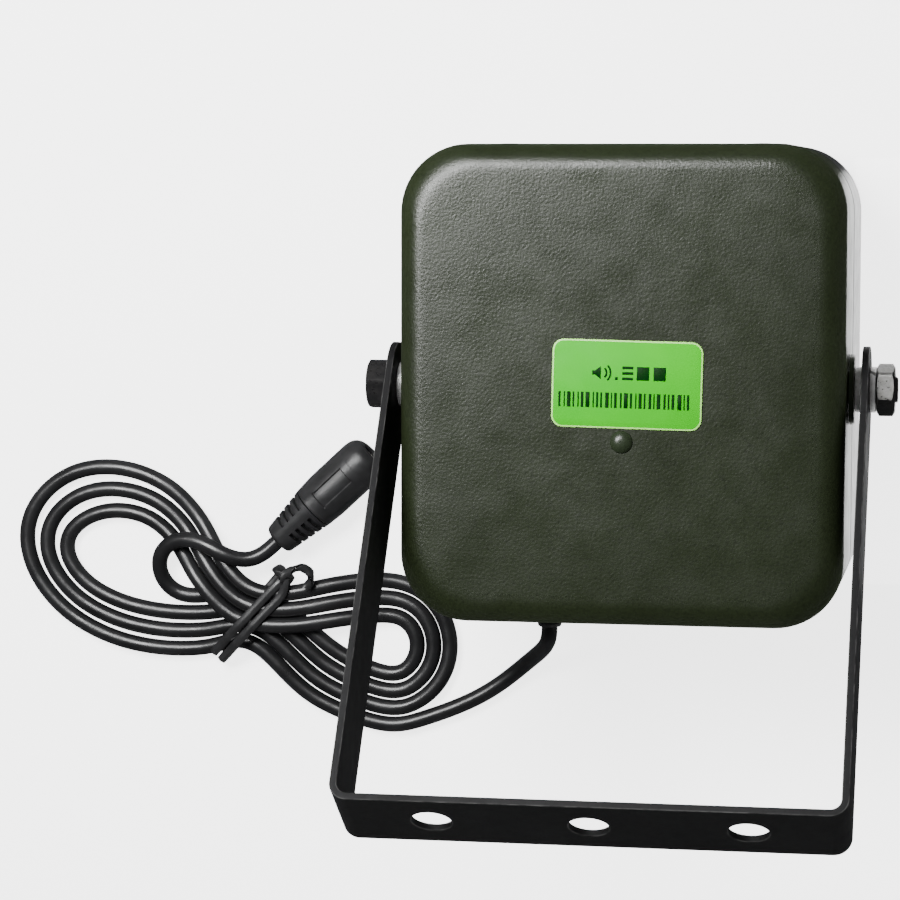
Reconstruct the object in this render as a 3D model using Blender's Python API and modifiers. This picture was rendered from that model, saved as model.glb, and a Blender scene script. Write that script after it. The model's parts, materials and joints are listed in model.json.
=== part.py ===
"""Horn loudspeaker of an electronic game caller, lying face down on its front rim.

Metres, +Z up. The horn's mouth faces -Z and rests on the plane z = 0, the painted back
faces +Z, and the yoke swings about the X axis of the two pivot bolts.
"""

from math import cos, pi, radians, sin

import bmesh
import bpy
from mathutils import Matrix, Vector

MM = 0.001
GAP = 0.3 * MM                      # left between pieces that touch

# Head: a rounded rectangular box, seen from behind
HEAD_WIDTH = 123.5 * MM
HEAD_HEIGHT = 133.0 * MM
HEAD_DEPTH = 85.0 * MM
CORNER_RADIUS = 19.0 * MM
BACK_EDGE_RADIUS = 5.0 * MM
COVER_WALL = 1.2 * MM
COVER_EDGE_Z = 44.4 * MM            # the open edge of the rear cover
COVER_SCREW_X, COVER_SCREW_Z = 36.0 * MM, 48.0 * MM
COVER_SCREW_HEAD = 0.45 * MM        # how far the cover's screws stand out of its walls
BELL_SHOULDER_Z = 42.8 * MM
BELL_LIP_Z = 52.0 * MM
BELL_WALL = 2.2 * MM

# Yoke and its pivot
PIVOT_Y = -1.4 * MM
PIVOT_Z = 60.5 * MM
YOKE_TILT = radians(36.3)           # above the plane of the back, at rest
YOKE_WIDTH = 135.0 * MM             # outside to outside
YOKE_REACH = 136.0 * MM             # pivot axis to the outer face of the base
STRAP_WIDTH = 24.0 * MM
STRAP_THICKNESS = 2.0 * MM
STRAP_BEND = 5.0 * MM               # outer radius of the two bends
BASE_HOLE_RADIUS = 5.4 * MM
BASE_HOLE_PITCH = 41.5 * MM

# M8 pivot hardware
BOLT_RADIUS = 4.0 * MM
BOLT_HOLE_RADIUS = 4.3 * MM
HEX_ACROSS_FLATS = 13.0 * MM
STACK_GAP = 0.15 * MM               # between the washers, nut and strap
BOLT_HEAD_THICKNESS = 6.6 * MM
BOSS_RADIUS, BOSS_THICKNESS = 9.8 * MM, 1.3 * MM
SPACER_RADIUS = 6.3 * MM
SPRING_WASHER_RADIUS, SPRING_WASHER = 6.4 * MM, 1.6 * MM
NUT_THICKNESS = 5.0 * MM
THREAD_END = 0.8 * MM               # of thread past the nut

# Driver, on the axis of the head; heights of the faces of its stack
PLATE_Z = 40.8 * MM
CUP_Z = 43.8 * MM
CUP_TOP_Z = 52.0 * MM
TOP_PLATE_Z = 54.6 * MM
MAGNET_Z = 58.9 * MM
BACK_PLATE_Z = 71.2 * MM
BACK_PLATE_TOP_Z = 75.2 * MM
DRIVER_RADIUS = 37.0 * MM
POLE_RADIUS = 12.2 * MM
COIL_INNER, COIL_OUTER = 12.6 * MM, 13.2 * MM
GAP_RADIUS = 13.6 * MM

# Rating label and rivet on the back
LABEL_SIZE = (41.5 * MM, 24.3 * MM)
LABEL_CENTRE = (2.5 * MM, 0.7 * MM)
LABEL_TURN = radians(-1.2)
LABEL_THICKNESS = 0.3 * MM
RIVET_AT = (1.0 * MM, -15.1 * MM)
RIVET_RADIUS = 3.1 * MM

# Cord: a round two-core lead that lies on the plane z = 0
CORD_RADIUS = 2.4 * MM
GLAND_X, GLAND_Z = -28.0 * MM, 20.0 * MM
TURN_PITCH = 4.9 * MM               # from one turn of the hank to the next
HANK_TURNS = 3
HANK_THICKNESS = 4.6 * MM
TIE_CENTRE = (-123.0 * MM, -77.4 * MM, 6.2 * MM)
TIE_SIZE = (24.0 * MM, 12.2 * MM)   # outside, across the hank and upright
TIE_WIRE = 0.8 * MM
TIE_WIDTH = 4.0 * MM
WAIST_LENGTH = 17.0 * MM
JACK_START = (-113.5 * MM, -53.0 * MM)
JACK_TURN = radians(43.0)
JACK_RADIUS = 7.5 * MM
RELIEF_LENGTH = 15.0 * MM
JACK_LENGTH = 25.0 * MM

# The hank's outermost turn, from under the tie round the left loop, over the waist and round
# the right loop: x and y in mm, and the slack left there between two turns
HANK_TURN = (
    (-123, -84.6, 0), (-137, -87.5, 0.5), (-152, -88.2, 0.8), (-168, -85.3, 0.8),
    (-183, -77.5, 0.6), (-193.5, -65, 0.8), (-196.5, -51, 1.7), (-190.5, -38.5, 2.2),
    (-178, -30.5, 2.2), (-162, -29.8, 1.6), (-147, -36, 0.8), (-136.5, -47, 0.2),
    (-129.5, -58, 0), (-121.5, -66, 0), (-111, -66.5, 0), (-96, -62.8, 0.5),
    (-80.9, -61.3, 0.5), (-68.9, -64.5, 0), (-60.1, -73.3, 0), (-56.9, -85.3, 0),
    (-60.1, -97.3, 0), (-68.9, -106.1, 0), (-80.9, -109.3, 0.2), (-104, -101.4, 0.4),
)
# The lead from its gland to the hank, and the tail from the hank to the jack: mm
LEAD_POINTS = (
    (-28, -75.8, 20), (-28, -77.4, 19.8), (-28.5, -80.2, 17), (-31.4, -84, 11),
    (-37, -88.8, 4.8), (-43.2, -94.2, 2.7), (-51, -99.6, 2.4), (-60, -103.9, 2.4),
)
TAIL_POINTS = (
    (-142.6, -52.5, 8.8), (-136.4, -54, 10.3), (-130.8, -57, 10.9), (-125, -59.6, 9.5),
    (-119.6, -58.8, 8.1), (-115.8, -55.3, 7.6), (-113.75, -53.25, 7.5),
)

# The horn flare, from the rim to the throat: inset from the outline, height
FLARE = ((5.4, 0.9), (7.2, 7), (10, 14), (14.5, 21.5), (20.5, 28.5), (27, 34), (34, 38.3))


def clear_scene():
    for obj in list(bpy.data.objects):
        bpy.data.objects.remove(obj, do_unlink=True)


def new_collection(name):
    made = bpy.data.collections.new(name)
    bpy.context.scene.collection.children.link(made)
    return made


clear_scene()
PARTS = new_collection("game_caller_speaker")
CUTTERS = new_collection("cutters")
CUTTERS.hide_render = True


def material(name, color, roughness, metallic=0.0):
    made = bpy.data.materials.new(name)
    made.use_nodes = True
    shader = made.node_tree.nodes["Principled BSDF"]
    shader.inputs["Base Color"].default_value = (*color, 1.0)
    shader.inputs["Roughness"].default_value = roughness
    shader.inputs["Metallic"].default_value = metallic
    made.diffuse_color = (*color, 1.0)
    return made


GREEN_PAINT = material("green_powder_coat", (0.085, 0.105, 0.062), 0.42)
GREEN_BOSS = material("dark_green_paint", (0.03, 0.042, 0.022), 0.4)
BLACK_PAINT = material("black_powder_coat", (0.012, 0.012, 0.013), 0.45)
BLACK_PLASTIC = material("black_abs", (0.02, 0.02, 0.021), 0.5)
BLACK_OXIDE = material("black_oxide_steel", (0.02, 0.02, 0.022), 0.38, 0.6)
ZINC = material("zinc_plate", (0.55, 0.55, 0.53), 0.3, 1.0)
STEEL = material("mild_steel", (0.5, 0.5, 0.5), 0.4, 1.0)
FERRITE = material("ferrite", (0.035, 0.035, 0.038), 0.7)
ALUMINIUM = material("cast_aluminium", (0.6, 0.6, 0.61), 0.45, 1.0)
PHENOLIC = material("phenolic", (0.16, 0.07, 0.03), 0.5)
COPPER = material("enamelled_copper", (0.6, 0.22, 0.08), 0.35, 1.0)
RUBBER = material("black_rubber", (0.015, 0.015, 0.016), 0.65)
CORD_PVC = material("cord_pvc", (0.012, 0.012, 0.013), 0.35)
LIME = material("lime_label", (0.2, 0.68, 0.03), 0.35)
NICKEL = material("nickel_plate", (0.62, 0.6, 0.55), 0.25, 1.0)
RED_PVC = material("red_pvc", (0.5, 0.02, 0.02), 0.4)
FOAM = material("grey_foam", (0.09, 0.09, 0.1), 0.9)


def add(name, mesh, paint, collection=PARTS):
    obj = bpy.data.objects.new(name, mesh)
    collection.objects.link(obj)
    obj.data.materials.clear()
    obj.data.materials.append(paint)
    return obj


def mesh_from(build, name):
    """A mesh that the function build(bm) fills."""
    bm = bmesh.new()
    build(bm)
    mesh = bpy.data.meshes.new(name)
    bm.to_mesh(mesh)
    bm.free()
    return mesh


def smooth(obj, angle=35.0):
    obj.data.shade_smooth()
    obj.data.set_sharp_from_angle(angle=radians(angle))
    return obj


def box(name, size, centre, paint, bevel=0.0, collection=PARTS):
    def build(bm):
        bmesh.ops.create_cube(bm, size=1.0)
        bmesh.ops.scale(bm, vec=size, verts=bm.verts)
        if bevel:
            bmesh.ops.bevel(bm, geom=bm.edges[:], offset=bevel, segments=2, affect="EDGES",
                            profile=0.5)

    obj = add(name, mesh_from(build, name), paint, collection)
    obj.location = centre
    return obj


def cylinder(name, radius, length, centre, paint, axis="Z", sides=24, collection=PARTS):
    def build(bm):
        bmesh.ops.create_cone(bm, cap_ends=True, segments=sides, radius1=radius,
                              radius2=radius, depth=length)

    obj = add(name, mesh_from(build, name), paint, collection)
    obj.location = centre
    obj.rotation_euler = {"X": (0, pi / 2, 0), "Y": (pi / 2, 0, 0), "Z": (0, 0, 0)}[axis]
    return obj


def turned(name, profile, paint, steps=24):
    """A profile of (radius, height), down its outer side, turned about Z.

    A profile that begins and ends on the axis gives a solid, any other is closed to a ring.
    """
    closed = profile[0][0] > 0

    def build(bm):
        points = [bm.verts.new((radius, 0, height)) for radius, height in profile]
        for first, second in zip(points, points[1:]):
            bm.edges.new((first, second))
        if closed:
            bm.edges.new((points[-1], points[0]))

    obj = add(name, mesh_from(build, name), paint)
    screw = obj.modifiers.new("turn", "SCREW")
    screw.steps = screw.render_steps = steps
    screw.use_merge_vertices = True
    screw.merge_threshold = 1e-6
    screw.use_smooth_shade = True
    return obj


def modifier_cut(obj, cutter, operation="DIFFERENCE"):
    cut = obj.modifiers.new(cutter.name, "BOOLEAN")
    cut.operation = operation
    cut.object = cutter
    cutter.hide_render = True
    cutter.display_type = "WIRE"


def drill(obj, radius, length, centre, axis="Z", sides=24):
    hole = cylinder("hole_in_" + obj.name, radius, length, centre, STEEL, axis, sides, CUTTERS)
    modifier_cut(obj, hole)
    return hole


def flat_curve(name, outlines, thickness, paint, collection=PARTS):
    """A plate from closed outlines in X and Y; the second and later ones are holes."""
    curve = bpy.data.curves.new(name, "CURVE")
    curve.dimensions = "2D"
    curve.fill_mode = "BOTH"
    curve.extrude = thickness / 2
    for outline in outlines:
        spline = curve.splines.new("POLY")
        spline.points.add(len(outline) - 1)
        for point, (x, y) in zip(spline.points, outline):
            point.co = (x, y, 0, 1)
        spline.use_cyclic_u = True
    return add(name, curve, paint, collection)


def as_mesh(obj):
    """The mesh object that stands in for a curve object, with its caps welded."""
    bpy.context.view_layer.update()
    graph = bpy.context.evaluated_depsgraph_get()
    mesh = bpy.data.meshes.new_from_object(obj.evaluated_get(graph))
    bm = bmesh.new()
    bm.from_mesh(mesh)
    bmesh.ops.remove_doubles(bm, verts=bm.verts, dist=1e-6)
    bm.to_mesh(mesh)
    bm.free()
    made = bpy.data.objects.new("mesh", mesh)
    for collection in obj.users_collection:
        collection.objects.link(made)
    made.matrix_world = obj.matrix_world
    name = obj.name
    bpy.data.objects.remove(obj, do_unlink=True)
    made.name = name
    return made


def tube(name, points, radius, paint, resolution=2):
    curve = bpy.data.curves.new(name, "CURVE")
    curve.dimensions = "3D"
    curve.bevel_depth = radius
    curve.bevel_resolution = resolution
    curve.use_fill_caps = True
    spline = curve.splines.new("POLY")
    spline.points.add(len(points) - 1)
    for point, co in zip(spline.points, points):
        point.co = (*co, 1)
    return add(name, curve, paint)


def arc(centre, radius, start, end, count):
    """Points on an arc of a plane, from angle start to angle end."""
    for i in range(count + 1):
        angle = start + (end - start) * i / count
        yield centre[0] + radius * cos(angle), centre[1] + radius * sin(angle)


def rounded_rectangle(half_width, half_height, radius, segments=5):
    """Anticlockwise points of a rectangle with round corners."""
    points = []
    for quarter, (sx, sy) in enumerate(((1, 1), (-1, 1), (-1, -1), (1, -1))):
        centre = (sx * (half_width - radius), sy * (half_height - radius))
        start = quarter * pi / 2
        points += arc(centre, radius, start, start + pi / 2, segments)
    return points


def inset_section(inset, height, segments=4):
    """The head's outline moved in by inset, at a height; the corners tighten as it shrinks."""
    radius = CORNER_RADIUS - 0.34 * inset
    outline = rounded_rectangle(HEAD_WIDTH / 2 - inset, HEAD_HEIGHT / 2 - inset, radius, segments)
    return [(x, y, height) for x, y in outline]


def loft(name, sections, paint, ring=False):
    """A skin over sections with equal numbers of points, as a ring or with its ends capped."""
    def build(bm):
        rows = [[bm.verts.new(point) for point in section] for section in sections]
        if ring:
            rows.append(rows[0])
        for lower, upper in zip(rows, rows[1:]):
            for i in range(len(lower)):
                bm.faces.new((lower[i - 1], lower[i], upper[i], upper[i - 1]))
        if not ring:
            bm.faces.new(rows[0])
            bm.faces.new(rows[-1])
        bmesh.ops.recalc_face_normals(bm, faces=bm.faces)

    return smooth(add(name, mesh_from(build, name), paint))


def smooth_route(points, spacing):
    """Points at even spacing on a Catmull-Rom curve through a route's points."""
    route = [Vector(point) for point in points]
    route = [2 * route[0] - route[1], *route, 2 * route[-1] - route[-2]]
    fine = []
    for before, start, end, after in zip(route, route[1:], route[2:], route[3:]):
        for step in range(12):
            t = step / 12
            fine.append(0.5 * (2 * start + (end - before) * t
                               + (2 * before - 5 * start + 4 * end - after) * t ** 2
                               + (3 * start - before - 3 * end + after) * t ** 3))
    fine.append(route[-2])
    length = sum((b - a).length for a, b in zip(fine, fine[1:]))
    count = max(2, round(length / spacing))
    kept, travelled = [fine[0]], 0.0
    for a, b in zip(fine, fine[1:]):
        travelled += (b - a).length
        while travelled >= length / count * len(kept) and len(kept) < count:
            kept.append(b)
    return [*kept, fine[-1]]


# Rear cover -----------------------------------------------------------------------------

def make_rear_cover():
    """A deep-drawn pan: straight walls, round vertical corners and a rounded back edge."""
    def build(bm):
        depth = HEAD_DEPTH - COVER_EDGE_Z
        bmesh.ops.create_cube(bm, size=1.0)
        bmesh.ops.scale(bm, vec=(HEAD_WIDTH, HEAD_HEIGHT, depth), verts=bm.verts)
        bmesh.ops.translate(bm, vec=(0, 0, COVER_EDGE_Z + depth / 2), verts=bm.verts)
        upright = [e for e in bm.edges if abs(e.verts[0].co.z - e.verts[1].co.z) > depth / 2]
        bmesh.ops.bevel(bm, geom=upright, offset=CORNER_RADIUS, segments=6, affect="EDGES",
                        profile=0.5)
        open_face = [f for f in bm.faces if f.normal.z < -0.9]
        bmesh.ops.delete(bm, geom=open_face, context="FACES")
        back = [e for e in bm.edges if min(v.co.z for v in e.verts) > HEAD_DEPTH - 0.1 * MM]
        bmesh.ops.bevel(bm, geom=back, offset=BACK_EDGE_RADIUS, segments=3, affect="EDGES",
                        profile=0.5)

    cover = smooth(add("rear_cover", mesh_from(build, "rear_cover"), GREEN_PAINT))
    wall = cover.modifiers.new("wall", "SOLIDIFY")
    wall.thickness = COVER_WALL
    wall.offset = -1
    drill(cover, BOLT_HOLE_RADIUS, HEAD_WIDTH * 1.2, (0, PIVOT_Y, PIVOT_Z), "X")
    drill(cover, 1.8 * MM, 10 * MM, (*RIVET_AT, HEAD_DEPTH))
    for x, y in cover_screw_places():
        drill(cover, 1.8 * MM, 10 * MM, (x, y, COVER_SCREW_Z), "Y", 16)


def cover_screw_places():
    return [(x, y) for y in (HEAD_HEIGHT / 2, -HEAD_HEIGHT / 2)
            for x in (-COVER_SCREW_X, COVER_SCREW_X)]


def make_cover_screws():
    for number, (x, y) in enumerate(cover_screw_places(), 1):
        side = 1 if y > 0 else -1
        profile = [(0, COVER_SCREW_HEAD), (2.6 * MM, COVER_SCREW_HEAD), (3.1 * MM, STACK_GAP),
                   (1.45 * MM, STACK_GAP), (1.45 * MM, -6 * MM), (0, -7.2 * MM)]
        screw = turned(f"cover_screw_{number}", profile, ZINC, 14)
        screw.location = (x, y, COVER_SCREW_Z)
        screw.rotation_euler = (-side * pi / 2, 0, 0)


def make_gasket():
    outer = rounded_rectangle(HEAD_WIDTH / 2 - 0.15 * MM, HEAD_HEIGHT / 2 - 0.15 * MM,
                              CORNER_RADIUS - 0.15 * MM, 6)
    inner = rounded_rectangle(HEAD_WIDTH / 2 - 1.2 * MM, HEAD_HEIGHT / 2 - 1.2 * MM,
                              CORNER_RADIUS - 1.2 * MM, 6)
    low, high = BELL_SHOULDER_Z + GAP, COVER_EDGE_Z - GAP
    gasket = flat_curve("cover_gasket", [outer, inner], high - low, RUBBER)
    gasket.location.z = (low + high) / 2


# Horn -----------------------------------------------------------------------------------

def make_front_bell():
    """The outer wall and the horn flare, one moulding folded round the front rim."""
    lip = COVER_WALL + GAP
    steps = [(lip, BELL_SHOULDER_Z), (0, BELL_SHOULDER_Z)]
    steps += [(3 * MM - 3 * MM * cos(a), 3 * MM - 3 * MM * sin(a))
              for a in (0, pi / 6, pi / 3, pi / 2)]
    steps += [(4.4 * MM, 0)]
    steps += [(inset * MM, height * MM) for inset, height in FLARE]
    steps += [(34 * MM, PLATE_Z - GAP), (23 * MM, PLATE_Z - GAP), (23 * MM, 34.5 * MM)]
    steps += [((inset - 1.6) * MM, (height + 2.6) * MM) for inset, height in FLARE[4:1:-1]]
    steps += [(lip + BELL_WALL, 10 * MM), (lip + BELL_WALL, BELL_LIP_Z), (lip, BELL_LIP_Z)]
    bell = loft("front_bell", [inset_section(*step) for step in steps], BLACK_PLASTIC, ring=True)
    drill(bell, 4.6 * MM, 12 * MM, (GLAND_X, -HEAD_HEIGHT / 2, GLAND_Z), "Y")
    for x, y in cover_screw_places():
        drill(bell, 1.75 * MM, 14 * MM, (x, y, COVER_SCREW_Z), "Y", 16)
    for x, y in driver_bolt_places():
        drill(bell, 1.8 * MM, 9 * MM, (x, y, PLATE_Z - 1 * MM), "Z", 16)


def make_reflector():
    """The bullet in the mouth that folds the horn: a cup, open towards the driver."""
    wall = 2.4 * MM

    def section(half_width, half_height, height):
        outline = rounded_rectangle(half_width, half_height, half_width * 0.42, 5)
        return [(x, y, height) for x, y in outline]

    half_w, half_h, back = 21 * MM, 25.5 * MM, 33 * MM
    sections = [section(half_w - wall, half_h - wall, back), section(half_w, half_h, back),
                section(half_w - 0.6 * MM, half_h - 0.6 * MM, 16 * MM)]
    for inset, height in ((1.6, 10.5), (4, 7.9), (8, 6.6), (13, 6.05)):
        sections.append(section(half_w - inset * MM, half_h - inset * MM, height * MM))
    for inset, height in ((11, 8.6), (7, 9.6), (4.4, 12)):
        sections.append(section(half_w - inset * MM, half_h - inset * MM, height * MM))

    def build(bm):
        rows = [[bm.verts.new(point) for point in row] for row in sections]
        for lower, upper in zip(rows[:7], rows[1:7]):
            for i in range(len(lower)):
                bm.faces.new((lower[i - 1], lower[i], upper[i], upper[i - 1]))
        bm.faces.new(rows[6])
        inner = [*rows[7:], rows[0]]
        for lower, upper in zip(inner, inner[1:]):
            for i in range(len(lower)):
                bm.faces.new((lower[i - 1], lower[i], upper[i], upper[i - 1]))
        bm.faces.new(rows[7])
        bmesh.ops.recalc_face_normals(bm, faces=bm.faces)

    smooth(add("horn_reflector", mesh_from(build, "horn_reflector"), BLACK_PLASTIC))
    low, high = back + GAP, PLATE_Z - GAP
    for number, (x, y) in enumerate(((19.8, 0), (0, 24.3), (-19.8, 0), (0, -24.3)), 1):
        cylinder(f"reflector_post_{number}", 1.9 * MM, high - low,
                 (x * MM, y * MM, (low + high) / 2), ALUMINIUM, sides=12)


def make_inner_horn():
    """The first, inner flare, from the driver's throat to inside the reflector."""
    top = PLATE_Z - GAP
    outer = [(15, top / MM), (15, 38.6), (11.8, 37.6), (11.8, 32), (13, 25), (14.6, 19), (15.6, 16)]
    inner = [(14.6, 16), (13.4, 19), (11.9, 25), (10.6, 32), (10, top / MM)]
    turned("inner_horn", [(r * MM, h * MM) for r, h in outer + inner], BLACK_PLASTIC)


# Driver ---------------------------------------------------------------------------------

def driver_bolt_places():
    return [(sx * 33 * MM, sy * 38 * MM) for sx in (1, -1) for sy in (1, -1)]


def make_driver():
    outline = rounded_rectangle(38 * MM, 43 * MM, 8 * MM, 4)
    plate = flat_curve("driver_housing", [outline], CUP_Z - PLATE_Z, ALUMINIUM)
    plate.location.z = (CUP_Z + PLATE_Z) / 2
    plate = as_mesh(plate)
    cup = cylinder("cup", DRIVER_RADIUS, CUP_TOP_Z - CUP_Z + 1 * MM,
                   (0, 0, (CUP_TOP_Z + CUP_Z - 1 * MM) / 2), ALUMINIUM, sides=28,
                   collection=CUTTERS)
    modifier_cut(plate, cup, "UNION")
    drill(plate, 24 * MM, 8 * MM, (0, 0, CUP_TOP_Z - 1.5 * MM), sides=28)
    drill(plate, 10 * MM, 30 * MM, (0, 0, CUP_Z), sides=28)
    for x, y in driver_bolt_places():
        drill(plate, 1.8 * MM, 20 * MM, (x, y, PLATE_Z), "Z", 16)
    for x, y in stack_screw_places():
        drill(plate, 1.8 * MM, 8 * MM, (x, y, CUP_TOP_Z), "Z", 12)
    smooth(plate)

    for number, (x, y) in enumerate(driver_bolt_places(), 1):
        bolt = turned(f"driver_bolt_{number}", machine_screw(3.2, 2.2, 7.5), ZINC, 14)
        bolt.location = (x, y, CUP_Z + GAP)
    for number, (x, y) in enumerate(stack_screw_places(), 1):
        screw = turned(f"driver_screw_{number}", machine_screw(2.4, 2.0, 9.0), ZINC, 12)
        screw.location = (x, y, MAGNET_Z)

    plug = turned("phase_plug", [(0, 46 * MM), (5.5 * MM, 45 * MM), (6 * MM, 42 * MM),
                                 (4 * MM, 34 * MM), (0, 31 * MM)], PHENOLIC, 20)
    for number in range(3):
        fin = box(f"fin_{number}", (8 * MM, 1.6 * MM, 5 * MM), (0, 0, 0), PHENOLIC,
                  collection=CUTTERS)
        turn = Matrix.Rotation(number * 2 * pi / 3, 4, "Z")
        fin.matrix_world = turn @ Matrix.Translation((5.6 * MM, 0, 42.6 * MM))
        modifier_cut(plug, fin, "UNION")

    low, high, inner = CUP_TOP_Z + GAP, TOP_PLATE_Z - GAP, 21.5 * MM
    ring = turned("surround_ring", [(DRIVER_RADIUS, high), (DRIVER_RADIUS, low), (inner, low),
                                    (inner, high)], BLACK_PLASTIC, 28)
    top = turned("top_plate", [(DRIVER_RADIUS, MAGNET_Z - GAP), (DRIVER_RADIUS, TOP_PLATE_Z),
                               (GAP_RADIUS, TOP_PLATE_Z), (GAP_RADIUS, MAGNET_Z - GAP)], ZINC, 28)
    for plate_with_screws in (ring, top):
        for x, y in stack_screw_places():
            drill(plate_with_screws, 1.8 * MM, 20 * MM, (x, y, TOP_PLATE_Z), "Z", 12)
    turned("magnet", [(30.5 * MM, BACK_PLATE_Z - GAP), (31 * MM, BACK_PLATE_Z - 0.8 * MM),
                      (31 * MM, MAGNET_Z + 0.5 * MM), (30.5 * MM, MAGNET_Z),
                      (17 * MM, MAGNET_Z), (17 * MM, BACK_PLATE_Z - GAP)], FERRITE, 28)
    turned("pole_piece", [(0, BACK_PLATE_TOP_Z), (29 * MM, BACK_PLATE_TOP_Z),
                          (30 * MM, BACK_PLATE_TOP_Z - 1 * MM), (30 * MM, BACK_PLATE_Z),
                          (POLE_RADIUS, BACK_PLATE_Z), (POLE_RADIUS, 55.2 * MM),
                          (0, 55.2 * MM)], ZINC, 28)

    dome = [(12.2, 52.6), (9.5, 50.8), (6, 49.4), (0, 48.7)]
    outer = [(20.9, 53.6), (20.9, 53.1), (18, 52.2), (15, 53.1)]
    profile = outer + dome + [(0, 49.3), (6, 50), (9.2, 51.3), (12, 53.1), (15, 53.7), (18, 52.8)]
    profile = [(r * MM, h * MM) for r, h in profile]
    # The profile meets the axis in its middle, so it is turned from there and back.
    start = next(i for i, (radius, _) in enumerate(profile) if radius == 0) + 1
    turned("diaphragm", (profile[start:] + profile[:start]), PHENOLIC)
    turned("voice_coil", [(COIL_OUTER, 60 * MM), (COIL_OUTER, 54 * MM), (COIL_INNER, 54 * MM),
                          (COIL_INNER, 60 * MM)], COPPER)


def stack_screw_places():
    return [(34 * MM * cos(a), 34 * MM * sin(a)) for a in (pi / 2, pi * 7 / 6, pi * 11 / 6)]


def machine_screw(head_radius, head_height, shank):
    """Profile in mm of a round-headed screw whose head rests on z = 0."""
    top, edge, stem = head_height, head_height * 0.55, 1.45
    points = [(0, top), (head_radius * 0.6, top), (head_radius, edge), (head_radius, 0),
              (stem, 0), (stem, -shank), (0, -shank - 1)]
    return [(r * MM, h * MM) for r, h in points]


def make_wiring():
    board_z = CUP_Z + GAP
    box("terminal_strip", (16 * MM, 5 * MM, 1.6 * MM), (-19 * MM, -39.6 * MM, board_z + 0.8 * MM),
        PHENOLIC, 0.2 * MM)
    lugs = (("terminal_lug_positive", "wire_positive", RED_PVC, -23.5, -1.6),
            ("terminal_lug_negative", "wire_negative", CORD_PVC, -14.5, 1.6))
    for lug, wire, paint, x, side in lugs:
        box(lug, (3 * MM, 3.4 * MM, 2.6 * MM), (x * MM, -39.6 * MM, board_z + 3.2 * MM),
            NICKEL, 0.2 * MM)
        route = [(GLAND_X / MM + side, -60.3, 20.4), (GLAND_X / MM + side, -59.4, 24),
                 (GLAND_X / MM + side, -60, 38), (GLAND_X / MM + side * 1.4, -57, 48),
                 (x - 1, -50, 51.5), (x, -44, 49.5), (x, -41.8, 47.6)]
        points = smooth_route([(a * MM, b * MM, c * MM) for a, b, c in route], 4 * MM)
        tube(wire, points, 0.8 * MM, paint, 1)


# Back: label and rivet ------------------------------------------------------------------

def make_label_and_rivet():
    outline = rounded_rectangle(LABEL_SIZE[0] / 2, LABEL_SIZE[1] / 2, 2.6 * MM, 4)
    label = flat_curve("rating_label", [outline], LABEL_THICKNESS, LIME)
    label.location = (*LABEL_CENTRE, HEAD_DEPTH + STACK_GAP + LABEL_THICKNESS / 2)
    label.rotation_euler.z = LABEL_TURN

    seat = 0.12 * MM
    rivet = turned("rear_rivet", [(0, 1.6 * MM), (1.4 * MM, 1.45 * MM), (2.4 * MM, 0.95 * MM),
                                  (RIVET_RADIUS, seat), (1.6 * MM, seat), (1.6 * MM, -3.4 * MM),
                                  (0, -3.4 * MM)], GREEN_PAINT, 24)
    rivet.location = (*RIVET_AT, HEAD_DEPTH)

    inside = HEAD_DEPTH - COVER_WALL
    place = (RIVET_AT[0], RIVET_AT[1] - 4 * MM, inside - GAP - 0.6 * MM)
    clip = box("cable_clip", (9 * MM, 22 * MM, 1.2 * MM), place, BLACK_PLASTIC, 0.2 * MM)
    drill(clip, 1.9 * MM, 6 * MM, (*RIVET_AT, inside), "Z", 16)
    box("foam_pad", (44 * MM, 24 * MM, inside - BACK_PLATE_TOP_Z - 2 * GAP),
        (0, 14 * MM, (inside + BACK_PLATE_TOP_Z) / 2), FOAM, 1.0 * MM)


# Pivot hardware -------------------------------------------------------------------------

def hexagon(name, low, high, paint, hole=0.0, chamfer_low=False, chamfer_high=False):
    """A hexagonal prism along X from low to high, with turned chamfers and perhaps a hole."""
    radius = HEX_ACROSS_FLATS / 2 / cos(pi / 6)
    length = high - low
    prism = cylinder(name, radius, length, ((low + high) / 2, PIVOT_Y, PIVOT_Z), paint, "X", 6)
    slope = radius - HEX_ACROSS_FLATS / 2
    profile = [(0, length), (radius * 2, length), (radius * 2, -length), (0, -length)]
    if chamfer_high or chamfer_low:
        flat = HEX_ACROSS_FLATS / 2 * 0.97
        top = [(0, length / 2), (flat, length / 2), (radius * 1.2, length / 2 - slope * 1.3)]
        bottom = [(radius * 1.2, slope * 1.3 - length / 2), (flat, -length / 2), (0, -length / 2)]
        profile = (top if chamfer_high else profile[:2]) + (bottom if chamfer_low else profile[2:])
        cone = turned("cone_of_" + name, profile, STEEL, 30)
        PARTS.objects.unlink(cone)
        CUTTERS.objects.link(cone)
        cone.location = prism.location
        cone.rotation_euler = (0, pi / 2, 0)
        modifier_cut(prism, cone, "INTERSECT")
    if hole:
        drill(prism, hole, length * 3, prism.location, "X")
    return prism


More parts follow.
